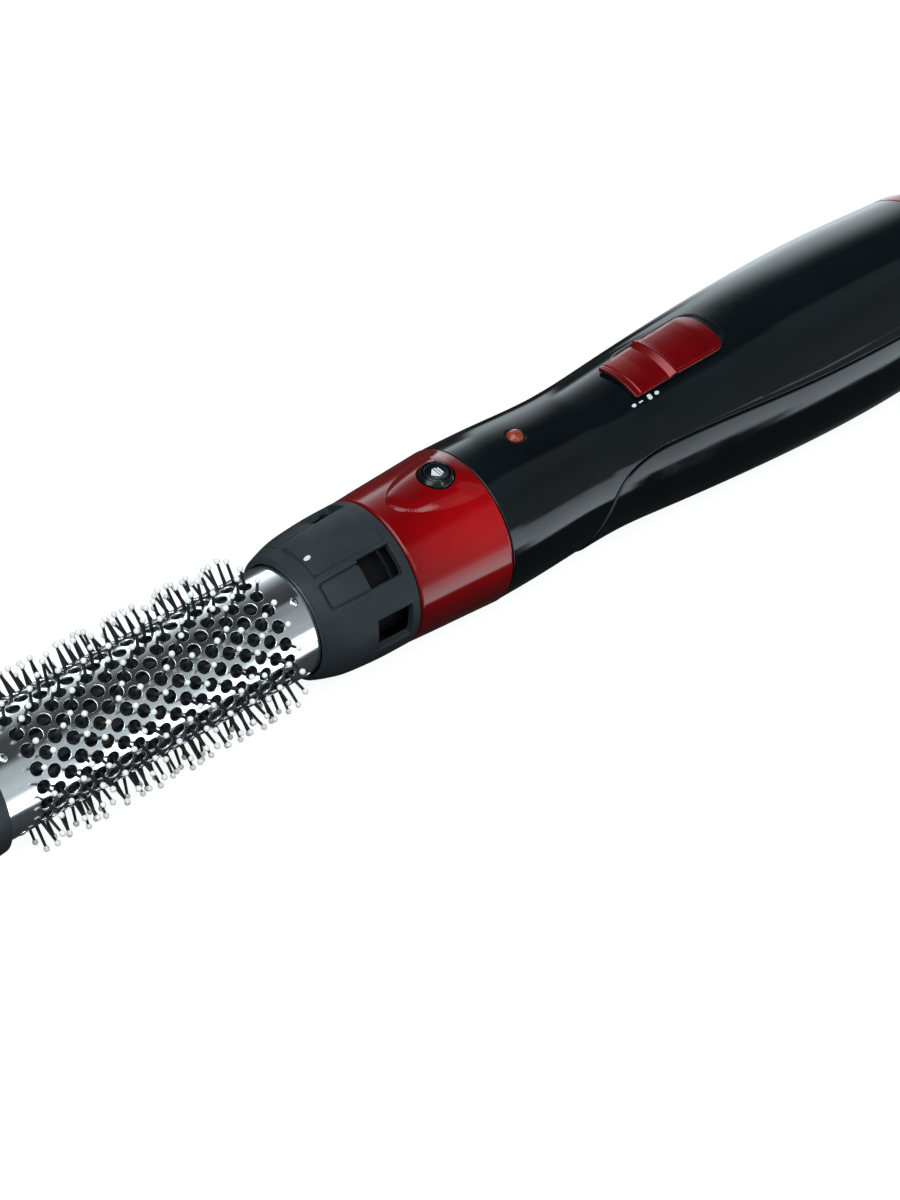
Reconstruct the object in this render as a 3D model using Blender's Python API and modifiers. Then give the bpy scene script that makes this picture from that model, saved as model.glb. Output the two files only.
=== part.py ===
"""Hot air brush: handle with heater, motor and fan, and a pull-off round brush head.

Frame: metres, +Z up, +X from the brush tip to the tail, switch on top.
All lengths below are in millimetres. Stations along the axis, called a, are
measured from the front lip of the head's collar, positive towards the tail.
The origin of the frame is under the middle of the brush, on the surface that
the flat of the handle's belly rests on.
"""
import math

import bmesh
import bpy
from mathutils import Matrix, Vector

# ---------------------------------------------------------------- dimensions
MM = 0.001
TIP_A = -105.4            # front of the tip cap
TAIL_A = 267.0            # rear of the cord gland
AXIS_Z = 26.05            # height of the long axis above the belly flat
GAP = 0.3                 # clearance between neighbouring pieces

SEG = 32                  # facets round the large turned pieces
SEG_S = 20                # facets round the small turned pieces

BARREL_R = 15.0
BARREL_WALL = 0.6
BARREL_A0, BARREL_A1 = -91.2, 10.0
PIN_ROWS = 10             # bristles on one strip
PIN_PITCH = 7.5           # spacing of the bristles along the strip
PIN_FIRST = -9.8          # station of the bristle nearest the collar
COMBS = 10                # bristle strips round the core
COMB_HALF = 4.5           # half angle between the two lines of a strip, degrees
PIN_TIP_R = 21.5
PIN_HALF = 0.5
HOLE_HALF = 1.1

COLLAR = [(0.0, 16.75), (3.0, 17.75), (7.0, 18.9), (12.6, 19.6), (18.0, 20.05), (28.0, 20.2)]
COLLAR_IN = [(2.5, 16.4), (7.0, 17.1), (12.6, 17.7), (18.0, 18.1), (28.0, 18.2)]
PAD_HALF = 26.0           # half width of the collar's raised pads, degrees
WINDOW_HALF = 12.0        # half width of a collar window, degrees
WINDOWS = (40.0, 90.0, 140.0, 220.0, 270.0, 320.0)

RING_A0, RING_A1 = 28.3, 57.7
RING = [(28.3, 20.2), (36.0, 20.75), (46.0, 21.4), (57.0, 21.88), (63.0, 22.0)]
BUTTON_A = 48.3
BUTTON_R = 3.5
BUTTON_TRAVEL = 2.0

HANDLE = [(58.0, 21.9), (67.0, 21.8), (76.0, 21.6), (83.0, 21.1), (94.0, 20.9),
          (106.0, 21.4), (115.0, 22.2), (125.0, 23.1), (138.0, 24.15), (151.0, 25.1),
          (164.0, 25.95), (175.0, 26.5), (190.0, 27.0), (205.0, 27.1), (220.0, 26.75), (238.5, 26.05)]
HANDLE_WALL = 2.2
# Side view of the lower cover's edge: up its front, round the corner, back to the tail.
SEAM = [(88.0, -40.0), (88.6, -9.0), (90.6, -3.5), (93.4, 2.0), (96.6, 6.0), (100.8, 8.9),
        (105.5, 10.6), (111.0, 11.7), (120.0, 12.4), (150.0, 12.6), (190.0, 12.3), (250.0, 11.2)]

LED_A = 75.5
SWITCH_A0, SWITCH_A1 = 112.6, 146.0
SWITCH_TRAVEL = 7.8
SWITCH_SLOPE = 0.0825     # rise of the switch track per unit of length
SWITCH_HALF = 18.8        # half width of the switch knob, degrees
SCREW_A, SCREW_Y = 150.0, 9.0

TAIL_A0, TAIL_A1 = 238.8, 247.2
GRILLE = [(247.5, 24.2), (250.5, 22.9), (254.0, 20.7), (257.0, 17.5), (259.5, 13.0), (260.5, 9.4)]
GRILLE_IN = [(247.5, 22.1), (250.0, 20.9), (252.6, 19.0), (255.3, 16.0), (257.3, 12.2), (258.0, 9.4)]
GRILLE_SLOTS = 12
GLAND_HOLE = 3.6
GLAND_R = 9.0

A_MID = 0.5 * (TIP_A + TAIL_A)

# ------------------------------------------------------------------- set-up
for old in list(bpy.data.objects):
    bpy.data.objects.remove(old, do_unlink=True)

scene = bpy.context.scene
PARTS = bpy.data.collections.new("hot_air_brush")
CUTTERS = bpy.data.collections.new("cutters")
scene.collection.children.link(PARTS)
scene.collection.children.link(CUTTERS)

ORIGIN = Vector((-A_MID * MM, 0.0, AXIS_Z * MM))
TO_X = Matrix.Rotation(math.radians(90.0), 4, "Y")


def frame(name):
    """An empty on the long axis at the collar's lip, for one moving group."""
    ob = bpy.data.objects.new(name, None)
    ob.empty_display_size = 0.01
    ob.location = ORIGIN
    PARTS.objects.link(ob)
    return ob


HANDLE_FRAME = frame("handle_frame")
HEAD_FRAME = frame("head_frame")
ROTOR_FRAME = frame("rotor_frame")
GLAND_FRAME = frame("gland_frame")
SWITCH_FRAME = frame("switch_frame")
BUTTON_FRAME = frame("button_frame")


def material(name, rgb, rough, metal=0.0):
    mat = bpy.data.materials.new(name)
    mat.use_nodes = True
    bsdf = mat.node_tree.nodes["Principled BSDF"]
    bsdf.inputs["Base Color"].default_value = (*rgb, 1.0)
    bsdf.inputs["Roughness"].default_value = rough
    bsdf.inputs["Metallic"].default_value = metal
    mat.diffuse_color = (*rgb, 1.0)
    return mat


BLACK_GLOSS = material("black_gloss", (0.012, 0.013, 0.015), 0.18)
BLACK_MATTE = material("black_matte", (0.02, 0.02, 0.022), 0.5)
COLLAR_GREY = material("collar_grey", (0.03, 0.03, 0.032), 0.55)
RED_GLOSS = material("red_gloss", (0.32, 0.008, 0.012), 0.15)
RED_SWITCH = material("red_switch", (0.16, 0.004, 0.006), 0.3)
CHROME = material("chrome", (0.75, 0.76, 0.78), 0.12, 1.0)
STEEL = material("steel", (0.45, 0.45, 0.46), 0.35, 1.0)
COPPER = material("heater_wire", (0.4, 0.3, 0.22), 0.4, 1.0)
MICA = material("mica", (0.55, 0.42, 0.25), 0.6)
LENS_RED = material("lens_red", (0.75, 0.08, 0.02), 0.15)
BOARD_GREEN = material("board_green", (0.03, 0.18, 0.06), 0.5)
BRISTLE = material("bristle_black", (0.015, 0.015, 0.016), 0.45)
FOAM = material("filter_foam", (0.05, 0.05, 0.05), 0.9)
WHITE = material("white_nylon", (0.7, 0.7, 0.68), 0.5)


# ------------------------------------------------------------ shape helpers
def add(name, mesh, mat=None, parent=None, cutter=False):
    ob = bpy.data.objects.new(name, mesh)
    if cutter:
        CUTTERS.objects.link(ob)
        ob.hide_render = True
        ob.display_type = "WIRE"
        ob.parent = HANDLE_FRAME
    else:
        PARTS.objects.link(ob)
        mesh.materials.append(mat)
        ob.parent = parent or HANDLE_FRAME
    return ob


def spin(ob, steps, angle=360.0):
    mod = ob.modifiers.new("turn", "SCREW")
    mod.axis = "Z"
    mod.angle = math.radians(angle)
    mod.steps = steps
    mod.render_steps = steps
    mod.screw_offset = 0.0
    mod.use_merge_vertices = True
    mod.merge_threshold = 0.00001
    mod.use_smooth_shade = True
    return mod


def turned(name, outer, inner=None, mat=None, parent=None, steps=SEG, cutter=False, start=0.0):
    """A body of revolution about the long axis.

    outer and inner are lists of (station, radius), tip to tail. With no inner
    line the body is solid. start turns the facets, in degrees.
    """
    loop = list(reversed(outer))
    closed = inner is not None
    if closed:
        loop += list(inner)
    else:
        loop = [(outer[-1][0], 0.0)] + loop + [(outer[0][0], 0.0)]
    mesh = bpy.data.meshes.new(name)
    bm = bmesh.new()
    turn = math.radians(start)
    pts = []
    for a, r in loop:
        p = Vector((r * math.cos(turn), r * math.sin(turn), a))
        if not pts or (pts[-1] - p).length > 1e-6:
            pts.append(p)
    verts = [bm.verts.new(p * MM) for p in pts]
    for i in range(len(verts) - 1):
        bm.edges.new((verts[i], verts[i + 1]))
    if closed:
        bm.edges.new((verts[-1], verts[0]))
    bm.to_mesh(mesh)
    bm.free()
    ob = add(name, mesh, mat, parent, cutter)
    ob.rotation_euler = (0.0, math.radians(90.0), 0.0)
    spin(ob, steps)
    return ob


def sector(name, line, half, thick, centre=0.0, steps=4, mat=None, parent=None, cutter=False):
    """A curved plate on the long axis: line of (station, radius) swept over an
    arc of +-half degrees about centre (degrees from the top, positive to +Y),
    thickened outwards."""
    mesh = bpy.data.meshes.new(name)
    bm = bmesh.new()
    start = math.radians(180.0 - centre - half)
    verts = [bm.verts.new(Vector((r * math.cos(start), r * math.sin(start), a)) * MM)
             for a, r in reversed(line)]
    for i in range(len(verts) - 1):
        bm.edges.new((verts[i], verts[i + 1]))
    bm.to_mesh(mesh)
    bm.free()
    ob = add(name, mesh, mat, parent, cutter)
    ob.rotation_euler = (0.0, math.radians(90.0), 0.0)
    spin(ob, steps, 2.0 * half)
    sol = ob.modifiers.new("thick", "SOLIDIFY")
    sol.thickness = thick * MM
    sol.offset = 1.0
    sol.use_even_offset = False
    return ob


def box(name, a0, a1, y0, y1, z0, z1, mat=None, parent=None, cutter=False, bevel=0.0):
    mesh = bpy.data.meshes.new(name)
    bm = bmesh.new()
    bmesh.ops.create_cube(bm, size=1.0)
    size = Vector((a1 - a0, y1 - y0, z1 - z0)) * MM
    mid = Vector((a0 + a1, y0 + y1, z0 + z1)) * (0.5 * MM)
    bmesh.ops.transform(bm, verts=bm.verts,
                        matrix=Matrix.Translation(mid) @ Matrix.Diagonal((*size, 1.0)))
    bm.to_mesh(mesh)
    bm.free()
    ob = add(name, mesh, mat, parent, cutter)
    if bevel:
        mod = ob.modifiers.new("edges", "BEVEL")
        mod.width = bevel * MM
        mod.segments = 1
    return ob


def rod(name, axis, lo, hi, r, at=(0.0, 0.0), mat=None, parent=None, cutter=False,
        segs=16, r_hi=None):
    """A cylinder or cone along X (at = y, z) or along Z (at = a, y)."""
    mesh = bpy.data.meshes.new(name)
    bm = bmesh.new()
    bmesh.ops.create_cone(bm, cap_ends=True, segments=segs, radius1=r * MM,
                          radius2=(r if r_hi is None else r_hi) * MM, depth=(hi - lo) * MM)
    if axis == "X":
        move = Matrix.Translation(Vector((0.5 * (lo + hi), at[0], at[1])) * MM) @ TO_X
    else:
        move = Matrix.Translation(Vector((at[0], at[1], 0.5 * (lo + hi))) * MM)
    bmesh.ops.transform(bm, verts=bm.verts, matrix=move)
    bm.to_mesh(mesh)
    bm.free()
    return add(name, mesh, mat, parent, cutter)


def boolean(ob, tool, op="DIFFERENCE"):
    mod = ob.modifiers.new(tool.name, "BOOLEAN")
    mod.operation = op
    mod.object = tool
    mod.solver = "EXACT"
    return ob


def side_outline(name, points, half):
    """A prism across the brush: an outline in side view (station, height)."""
    curve = bpy.data.curves.new(name, "CURVE")
    curve.dimensions = "2D"
    curve.fill_mode = "BOTH"
    curve.extrude = half * MM
    curve.resolution_u = 1
    curve.render_resolution_u = 0
    spline = curve.splines.new("POLY")
    spline.points.add(len(points) - 1)
    for p, (a, z) in zip(spline.points, points):
        p.co = (a * MM, z * MM, 0.0, 1.0)
    spline.use_cyclic_u = True
    source = bpy.data.objects.new(name + "_outline", curve)
    CUTTERS.objects.link(source)
    mesh = baked(source)
    mesh.name = name
    ob = add(name, mesh, cutter=True)
    ob.rotation_euler = (math.radians(90.0), 0.0, 0.0)
    return ob


def baked(source):
    """The finished mesh of an object, welded; the object itself is removed."""
    bpy.context.view_layer.update()
    deps = bpy.context.evaluated_depsgraph_get()
    mesh = bpy.data.meshes.new_from_object(source.evaluated_get(deps))
    bm = bmesh.new()
    bm.from_mesh(mesh)
    bmesh.ops.remove_doubles(bm, verts=bm.verts, dist=1e-6)
    bmesh.ops.recalc_face_normals(bm, faces=bm.faces)
    bm.to_mesh(mesh)
    bm.free()
    data = source.data
    bpy.data.objects.remove(source, do_unlink=True)
    if isinstance(data, bpy.types.Curve):
        bpy.data.curves.remove(data)
    return mesh


def wire(name, points, r, mat, parent=None, res=1):
    """A round wire through points (station, y, height)."""
    curve = bpy.data.curves.new(name, "CURVE")
    curve.dimensions = "3D"
    curve.bevel_depth = r * MM
    curve.bevel_resolution = res
    curve.use_fill_caps = True
    curve.resolution_u = 1
    curve.render_resolution_u = 0
    spline = curve.splines.new("POLY")
    spline.points.add(len(points) - 1)
    for p, (a, y, z) in zip(spline.points, points):
        p.co = (a * MM, y * MM, z * MM, 1.0)
    ob = bpy.data.objects.new(name, curve)
    PARTS.objects.link(ob)
    curve.materials.append(mat)
    ob.parent = parent or HANDLE_FRAME
    return ob


def lerp(line, a):
    """Radius on a (station, radius) line at station a."""
    for (a0, r0), (a1, r1) in zip(line, line[1:]):
        if a0 <= a <= a1:
            return r0 + (r1 - r0) * (a - a0) / (a1 - a0)
    return line[0][1] if a < line[0][0] else line[-1][1]


def ring(name, a0, a1, r0, r1, mat, parent=None, steps=SEG_S):
    """A plain sleeve or washer on the long axis."""
    return turned(name, [(a0, r1), (a1, r1)], [(a0, r0), (a1, r0)], mat, parent, steps)


# --------------------------------------------------------------- brush head
collar = turned("head_collar", COLLAR, [(0.0, BARREL_R + GAP), (2.5, BARREL_R + GAP)] + COLLAR_IN,
                COLLAR_GREY, HEAD_FRAME)
for side, centre in (("top", 0.0), ("bottom", 180.0)):
    pad_line = [(a, lerp(COLLAR, a) - 0.6) for a in (4.5, 7.0, 12.6, 18.0, 26.0)]
    boolean(collar, sector("pad_" + side, pad_line, PAD_HALF, 1.4, centre, 4, cutter=True), "UNION")
for i, centre in enumerate(WINDOWS):
    boolean(collar, sector("window_%d" % i, [(16.0, 15.0), (26.4, 15.0)], WINDOW_HALF, 8.0,
                           centre, 2, cutter=True))
boolean(collar, box("latch_notch", 21.2, 29.0, -3.7, 3.7, 15.0, 19.75, cutter=True))

ring("barrel_retainer", 2.8, 9.6, BARREL_R + GAP, 16.05, BLACK_MATTE, HEAD_FRAME, SEG)

barrel = turned("barrel", [(BARREL_A0, BARREL_R), (BARREL_A1, BARREL_R)],
                [(BARREL_A0, BARREL_R - BARREL_WALL), (BARREL_A1, BARREL_R - BARREL_WALL)],
                CHROME, HEAD_FRAME, 2 * COMBS, start=180.0 / (2 * COMBS))


def radial(a, degrees):
    """Transform that puts the local +Z line on the radius at this station and angle."""
    return (Matrix.Translation(Vector((a * MM, 0.0, 0.0)))
            @ Matrix.Rotation(-math.radians(degrees), 4, "X"))


def pins(bm, centre, half, r0, r1, taper):
    """The two staggered lines of one bristle strip, as square prisms."""
    for i in range(PIN_ROWS):
        a = PIN_FIRST - PIN_PITCH * i
        turn = centre + (COMB_HALF if i % 2 else -COMB_HALF)
        move = radial(a, turn) @ Matrix.Translation(Vector((0.0, 0.0, 0.5 * (r0 + r1) * MM)))
        bmesh.ops.create_cone(bm, cap_ends=True, segments=4, radius1=half * MM,
                              radius2=half * taper * MM, depth=(r1 - r0) * MM, matrix=move)


mesh = bpy.data.meshes.new("barrel_holes")
bm = bmesh.new()
for k in range(COMBS):
    pins(bm, k * 360.0 / COMBS, HOLE_HALF, BARREL_R - 2.0, BARREL_R + 2.0, 1.0)
bm.to_mesh(mesh)
bm.free()
boolean(barrel, add("barrel_holes", mesh, cutter=True))

turned("bristle_core", [(-89.7, 12.0), (8.0, 12.0)], [(-89.7, 11.0), (8.0, 11.0)],
       BLACK_MATTE, HEAD_FRAME, SEG_S)

strip = box("bristle_strip", -83.6, -7.5, -3.2, 3.2, 12.5, 13.6, cutter=True)
mesh = bpy.data.meshes.new("bristle_pins")
bm = bmesh.new()
pins(bm, 0.0, PIN_HALF, 13.0, PIN_TIP_R, 0.8)
bm.to_mesh(mesh)
bm.free()
pin_tool = add("bristle_pins", mesh, cutter=True)
boolean(strip, pin_tool, "UNION")
comb_mesh = baked(strip)
comb_mesh.name = "bristle_comb"
comb_mesh.materials.clear()
comb_mesh.materials.append(BRISTLE)
bpy.data.objects.remove(pin_tool, do_unlink=True)
for k in range(COMBS):
    ob = bpy.data.objects.new("bristle_comb_%02d" % (k + 1), comb_mesh)
    PARTS.objects.link(ob)
    ob.parent = HEAD_FRAME
    ob.rotation_euler = (-math.radians(k * 360.0 / COMBS), 0.0, 0.0)

cap_outer = [(TIP_A, 5.5), (-104.3, 10.6), (-102.3, 14.2), (-99.1, 16.4), (-95.2, 17.0),
             (-91.5, 16.6), (-91.5, 14.1), (-85.7, 14.1)]
cap = turned("tip_cap", cap_outer, None, BLACK_MATTE, HEAD_FRAME, 28)
boolean(cap, rod("tip_cap_hollow", "X", -102.7, -80.0, 12.6, segs=SEG_S, cutter=True))

# --------------------------------------------------------- front of handle
ring_body = turned("front_ring", RING, None, RED_GLOSS)
mesh = bpy.data.meshes.new("button_boss")
bm = bmesh.new()
bmesh.ops.create_uvsphere(bm, u_segments=20, v_segments=10, radius=MM)
bmesh.ops.transform(bm, verts=bm.verts, matrix=Matrix.Translation(Vector((48.5, 0.0, 15.3)) * MM)
                    @ Matrix.Diagonal((17.0, 7.6, 8.4, 1.0)))
bm.to_mesh(mesh)
bm.free()
boolean(ring_body, add("button_boss", mesh, cutter=True), "UNION")
boolean(ring_body, turned("ring_bore", [(20.0, 18.2), (36.0, 18.6), (57.0, 19.7), (70.0, 19.7)],
                          None, cutter=True))
boolean(ring_body, box("ring_rear", RING_A1, 90.0, -40.0, 40.0, -40.0, 40.0, cutter=True))
boolean(ring_body, rod("button_hole", "Z", 15.0, 30.0, 4.75, (BUTTON_A, 0.0), segs=SEG_S, cutter=True))


def sleeve_z(name, a, lo, hi, r0, r1, mat, parent, top=None):
    """A round cup or ring standing on the Z direction at station a."""
    ob = rod(name, "Z", lo, hi, r1, (a, 0.0), mat, parent, segs=SEG_S)
    boolean(ob, rod(name + "_bore", "Z", lo - 5.0, top if top else hi + 5.0, r0, (a, 0.0),
                    segs=SEG_S, cutter=True))
    return ob


sleeve_z("button_bezel", BUTTON_A, 20.6, 23.8, 3.8, 4.45, BLACK_GLOSS, None)
sleeve_z("release_button", BUTTON_A, 19.0, 24.1, 2.6, BUTTON_R, BLACK_GLOSS, BUTTON_FRAME, 21.4)
hook = box("latch_hook", 22.0, 45.6, -2.8, 2.8, 16.9, 17.9, BLACK_MATTE, BUTTON_FRAME)
boolean(hook, box("hook_nose", 22.0, 24.4, -2.8, 2.8, 17.2, 19.3, cutter=True), "UNION")
boolean(hook, box("hook_heel", 44.4, 45.6, -1.6, 1.6, 17.2, 18.7, cutter=True), "UNION")
spring_pts = []
for i in range(4 * 8 + 1):
    t = 2.0 * math.pi * i / 8.0
    spring_pts.append((BUTTON_A + 1.9 * math.cos(t), 1.9 * math.sin(t), 15.3 + 5.6 * i / 32.0))
wire("button_spring", spring_pts, 0.3, STEEL, res=0)

turned("nozzle_spigot", [(12.0, 14.2), (13.0, 14.6), (55.0, 14.6), (55.0, 19.2), (56.8, 19.2)],
       [(12.0, 13.2), (56.8, 13.2)], BLACK_MATTE, None, SEG_S)
grille = ring("outlet_grille", 14.0, 15.6, 11.2, 12.9, BLACK_MATTE)
boolean(grille, box("grille_bar_v", 14.0, 15.6, -0.9, 0.9, -12.0, 12.0, cutter=True), "UNION")
boolean(grille, box("grille_bar_h", 14.0, 15.6, -12.0, 12.0, -0.9, 0.9, cutter=True), "UNION")
rod("ion_needle", "X", 16.0, 36.0, 0.5, (0.0, -9.0), STEEL, segs=8, r_hi=0.7)

ring("heat_shield", 57.3, 104.0, 15.8, 16.3, MICA)
upright = box("heater_board_upright", 60.0, 100.0, -0.4, 0.4, -13.4, 13.4, MICA)
boolean(upright, box("upright_slot", 55.0, 80.2, -1.0, 1.0, -0.8, 0.8, cutter=True))
flat = box("heater_board_flat", 60.0, 100.0, -13.4, 13.4, -0.4, 0.4, MICA)
boolean(flat, box("flat_slot", 79.8, 105.0, -0.8, 0.8, -1.0, 1.0, cutter=True))
coil_pts = []
for i in range(7 * 10 + 1):
    t = 2.0 * math.pi * i / 10.0
    coil_pts.append((62.0 + 34.0 * i / 70.0, 14.6 * math.sin(t), 14.6 * math.cos(t)))
wire("heater_coil", coil_pts, 0.4, COPPER, res=0)
box("thermostat", 88.0, 95.0, 2.6, 8.4, 2.6, 7.6, STEEL)
rod("thermal_fuse", "X", 78.0, 92.0, 1.6, (-5.0, 5.0), WHITE, segs=12)

# ----------------------------------------------------------- handle casing
inner_line = [(a, r - HANDLE_WALL) for a, r in HANDLE
              if a in (58.0, 76.0, 94.0, 106.0, 125.0, 151.0, 175.0, 205.0, 238.5)]


def casing(name, mat):
    return turned(name, HANDLE, inner_line, mat)


def cover_outline(grow):
    """Side view of the lower cover, larger by grow along its seam."""
    pts = []
    for i, (a, z) in enumerate(SEAM):
        before, after = SEAM[max(i - 1, 0)], SEAM[min(i + 1, len(SEAM) - 1)]
        along = Vector((after[0] - before[0], after[1] - before[1])).normalized()
        pts.append((a - grow * along.y, z + grow * along.x))
    return pts + [(250.0, -40.0)]


shell = casing("main_shell", BLACK_GLOSS)
boolean(shell, side_outline("cover_opening", cover_outline(0.5 * GAP), 40.0))
for sign, side in ((-1.0, "right"), (1.0, "left")):
    post = rod("post_" + side, "Z", -17.0, 21.5, 2.8, (SCREW_A, sign * SCREW_Y), segs=12, cutter=True)
    boolean(shell, post, "UNION")
    boolean(shell, rod("post_bore_" + side, "Z", -20.0, 10.0, 1.75, (SCREW_A, sign * SCREW_Y),
                       segs=12, cutter=True))


def track(a, lift):
    """Radius of the sloping line that the switch slides along, just clear of the shell."""
    return 22.08 + SWITCH_SLOPE * (a - SWITCH_A0) + lift


boolean(shell, box("switch_slot", 121.4, 134.6, -2.1, 2.1, 15.0, 26.0, cutter=True))
boolean(shell, rod("led_hole", "Z", 15.0, 26.0, 2.55, (LED_A, 0.0), segs=16, cutter=True))

cover = casing("lower_cover", BLACK_GLOSS)
boolean(cover, side_outline("cover_body", cover_outline(-0.5 * GAP), 40.0), "INTERSECT")
for sign, side in ((-1.0, "right"), (1.0, "left")):
    at = (SCREW_A, sign * SCREW_Y)
    boolean(cover, rod("seat_" + side, "Z", -22.6, -17.6, 3.9, at, segs=12, cutter=True), "UNION")
    boolean(cover, rod("seat_hole_" + side, "Z", -30.0, -10.0, 1.75, at, segs=12, cutter=True))
    boolean(cover, rod("seat_recess_" + side, "Z", -30.0, -20.2, 2.8, at, segs=12, cutter=True))
    screw = rod("screw_" + side, "Z", -22.0, -20.5, 2.4, at, STEEL, segs=12)
    boolean(screw, rod("shank_" + side, "Z", -21.0, 0.0, 1.4, at, segs=12, cutter=True), "UNION")
    boolean(screw, box("drive_a_" + side, SCREW_A - 1.5, SCREW_A + 1.5, at[1] - 0.3, at[1] + 0.3,
                       -23.0, -21.5, cutter=True))
    boolean(screw, box("drive_b_" + side, SCREW_A - 0.3, SCREW_A + 0.3, at[1] - 1.5, at[1] + 1.5,
                       -23.0, -21.5, cutter=True))
boolean(cover, box("belly_flat", 80.0, 250.0, -30.0, 30.0, -40.0, -AXIS_Z, cutter=True))

# ------------------------------------------------------------------ switch
knob_line = [(a, track(a, GAP)) for a in (SWITCH_A0, SWITCH_A1)]
knob = sector("switch_knob", knob_line, SWITCH_HALF, 1.7, 0.0, 6, RED_SWITCH, SWITCH_FRAME)
ridge_line = [(a, track(a, GAP + 0.6)) for a in (125.0, 128.6)]
boolean(knob, sector("switch_ridge", ridge_line, SWITCH_HALF - 0.6, 2.0, 0.0, 6, cutter=True), "UNION")
boolean(knob, box("switch_stem", 122.2, 126.0, -1.7, 1.7, 15.4, 24.0, cutter=True), "UNION")
body = box("switch_body", 115.0, 141.0, -4.5, 4.5, 10.0, 17.0, BLACK_MATTE)
boolean(body, box("switch_groove", 121.4, 134.8, -2.1, 2.1, 14.4, 18.0, cutter=True))

# ------------------------------------------------------- lamp, electronics
box("circuit_board", 66.0, 108.0, -4.0, 4.0, 16.9, 17.9, BOARD_GREEN)
rod("led", "Z", 18.2, 19.9, 1.2, (LED_A, 0.0), WHITE, segs=12)
rod("led_lens", "Z", 20.2, 22.0, 2.25, (LED_A, 0.0), LENS_RED, segs=16)
box("ion_module", 122.0, 144.0, -8.0, 8.0, -16.0, -7.0, BLACK_MATTE, bevel=0.8)

# ---------------------------------------------------------- motor and fan
turned("motor_can", [(166.0, 14.0), (196.0, 14.0), (197.0, 13.0), (198.0, 5.0), (200.0, 5.0)],
       [(166.0, 1.6), (200.0, 1.6)], STEEL, None, SEG_S)
mount = ring("motor_mount", 170.0, 194.0, 14.3, 15.8, BLACK_MATTE)
for i in range(3):
    arm = box("mount_arm_%d" % i, 178.0, 190.0, -1.1, 1.1, 15.2, 23.2, cutter=True)
    arm.rotation_euler = (math.radians(60.0 + 120.0 * i), 0.0, 0.0)
    boolean(mount, arm, "UNION")
rod("motor_shaft", "X", 162.0, 219.0, 1.2, mat=STEEL, parent=ROTOR_FRAME, segs=12)
fan = turned("fan_impeller", [(204.0, 6.6), (214.0, 6.6), (217.0, 4.6)],
             [(204.0, 1.5), (217.0, 1.5)], BLACK_MATTE, ROTOR_FRAME, SEG_S)
mesh = bpy.data.meshes.new("fan_blades")
bm = bmesh.new()
for i in range(7):
    made = bmesh.ops.create_cube(bm, size=1.0)["verts"]
    bmesh.ops.transform(bm, verts=made, matrix=(
        Matrix.Rotation(2.0 * math.pi * i / 7.0, 4, "X")
        @ Matrix.Translation(Vector((209.0, 0.0, 13.6)) * MM)
        @ Matrix.Rotation(math.radians(38.0), 4, "Z")
        @ Matrix.Diagonal((9.0 * MM, 1.1 * MM, 15.4 * MM, 1.0))))
bm.to_mesh(mesh)
bm.free()
boolean(fan, add("fan_blades", mesh, cutter=True), "UNION")

# -------------------------------------------------------------------- tail
turned("tail_ring", [(TAIL_A0, 25.95), (242.5, 25.8), (245.0, 25.4), (TAIL_A1, 24.5)],
       [(TAIL_A0, 23.2), (TAIL_A1, 21.9)], RED_GLOSS)
ring("intake_filter", 240.5, 242.1, 5.5, 22.1, FOAM)
intake = turned("intake_grille", GRILLE, GRILLE_IN, BLACK_MATTE, None, 2 * GRILLE_SLOTS)
mesh = bpy.data.meshes.new("intake_slots")
bm = bmesh.new()
for i in range(GRILLE_SLOTS):
    made = bmesh.ops.create_cube(bm, size=1.0)["verts"]
    bmesh.ops.transform(bm, verts=made, matrix=(
        Matrix.Rotation(2.0 * math.pi * (i + 0.25) / GRILLE_SLOTS, 4, "X")
        @ Matrix.Translation(Vector((257.0, 0.0, 16.9)) * MM)
        @ Matrix.Diagonal((16.0 * MM, 2.6 * MM, 8.2 * MM, 1.0))))
bm.to_mesh(mesh)
bm.free()
boolean(intake, add("intake_slots", mesh, cutter=True))
ring("gland_retainer", 252.6, 254.8, GLAND_R + 0.4, 12.0, BLACK_MATTE)
turned("cord_gland", [(251.6, GLAND_R), (255.2, GLAND_R), (255.2, 11.0), (257.0, 11.0),
                      (257.0, GLAND_R), (262.0, GLAND_R), (265.0, 8.0), (TAIL_A, 6.0)],
       [(251.6, GLAND_HOLE), (TAIL_A, GLAND_HOLE)], BLACK_MATTE, GLAND_FRAME, SEG_S)
bpy.context.view_layer.update()
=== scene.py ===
import math
import random

import bmesh
import bpy
import numpy as np
from mathutils import Matrix, Vector


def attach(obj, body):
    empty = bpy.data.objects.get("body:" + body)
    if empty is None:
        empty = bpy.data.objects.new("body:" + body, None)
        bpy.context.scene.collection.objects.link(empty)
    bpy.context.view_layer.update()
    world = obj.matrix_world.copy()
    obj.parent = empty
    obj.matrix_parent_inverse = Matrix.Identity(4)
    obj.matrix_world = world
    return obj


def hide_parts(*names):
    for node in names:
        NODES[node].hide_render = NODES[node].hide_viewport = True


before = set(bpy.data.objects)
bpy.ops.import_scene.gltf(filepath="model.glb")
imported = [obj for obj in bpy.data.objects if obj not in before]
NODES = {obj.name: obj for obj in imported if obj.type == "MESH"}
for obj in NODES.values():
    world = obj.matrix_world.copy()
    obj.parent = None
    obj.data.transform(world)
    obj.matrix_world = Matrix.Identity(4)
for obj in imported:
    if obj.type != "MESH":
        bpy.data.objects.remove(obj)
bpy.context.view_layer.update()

# Lengths are in millimetres until a mesh is made. A station a runs along the long
# axis from the front lip of the collar to the tail. An angle phi runs round the axis
# from the top, towards -Y. Heights z are measured from the axis.
A_MID, AXIS_Z = 80.8, 26.05
scene = bpy.context.scene


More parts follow.
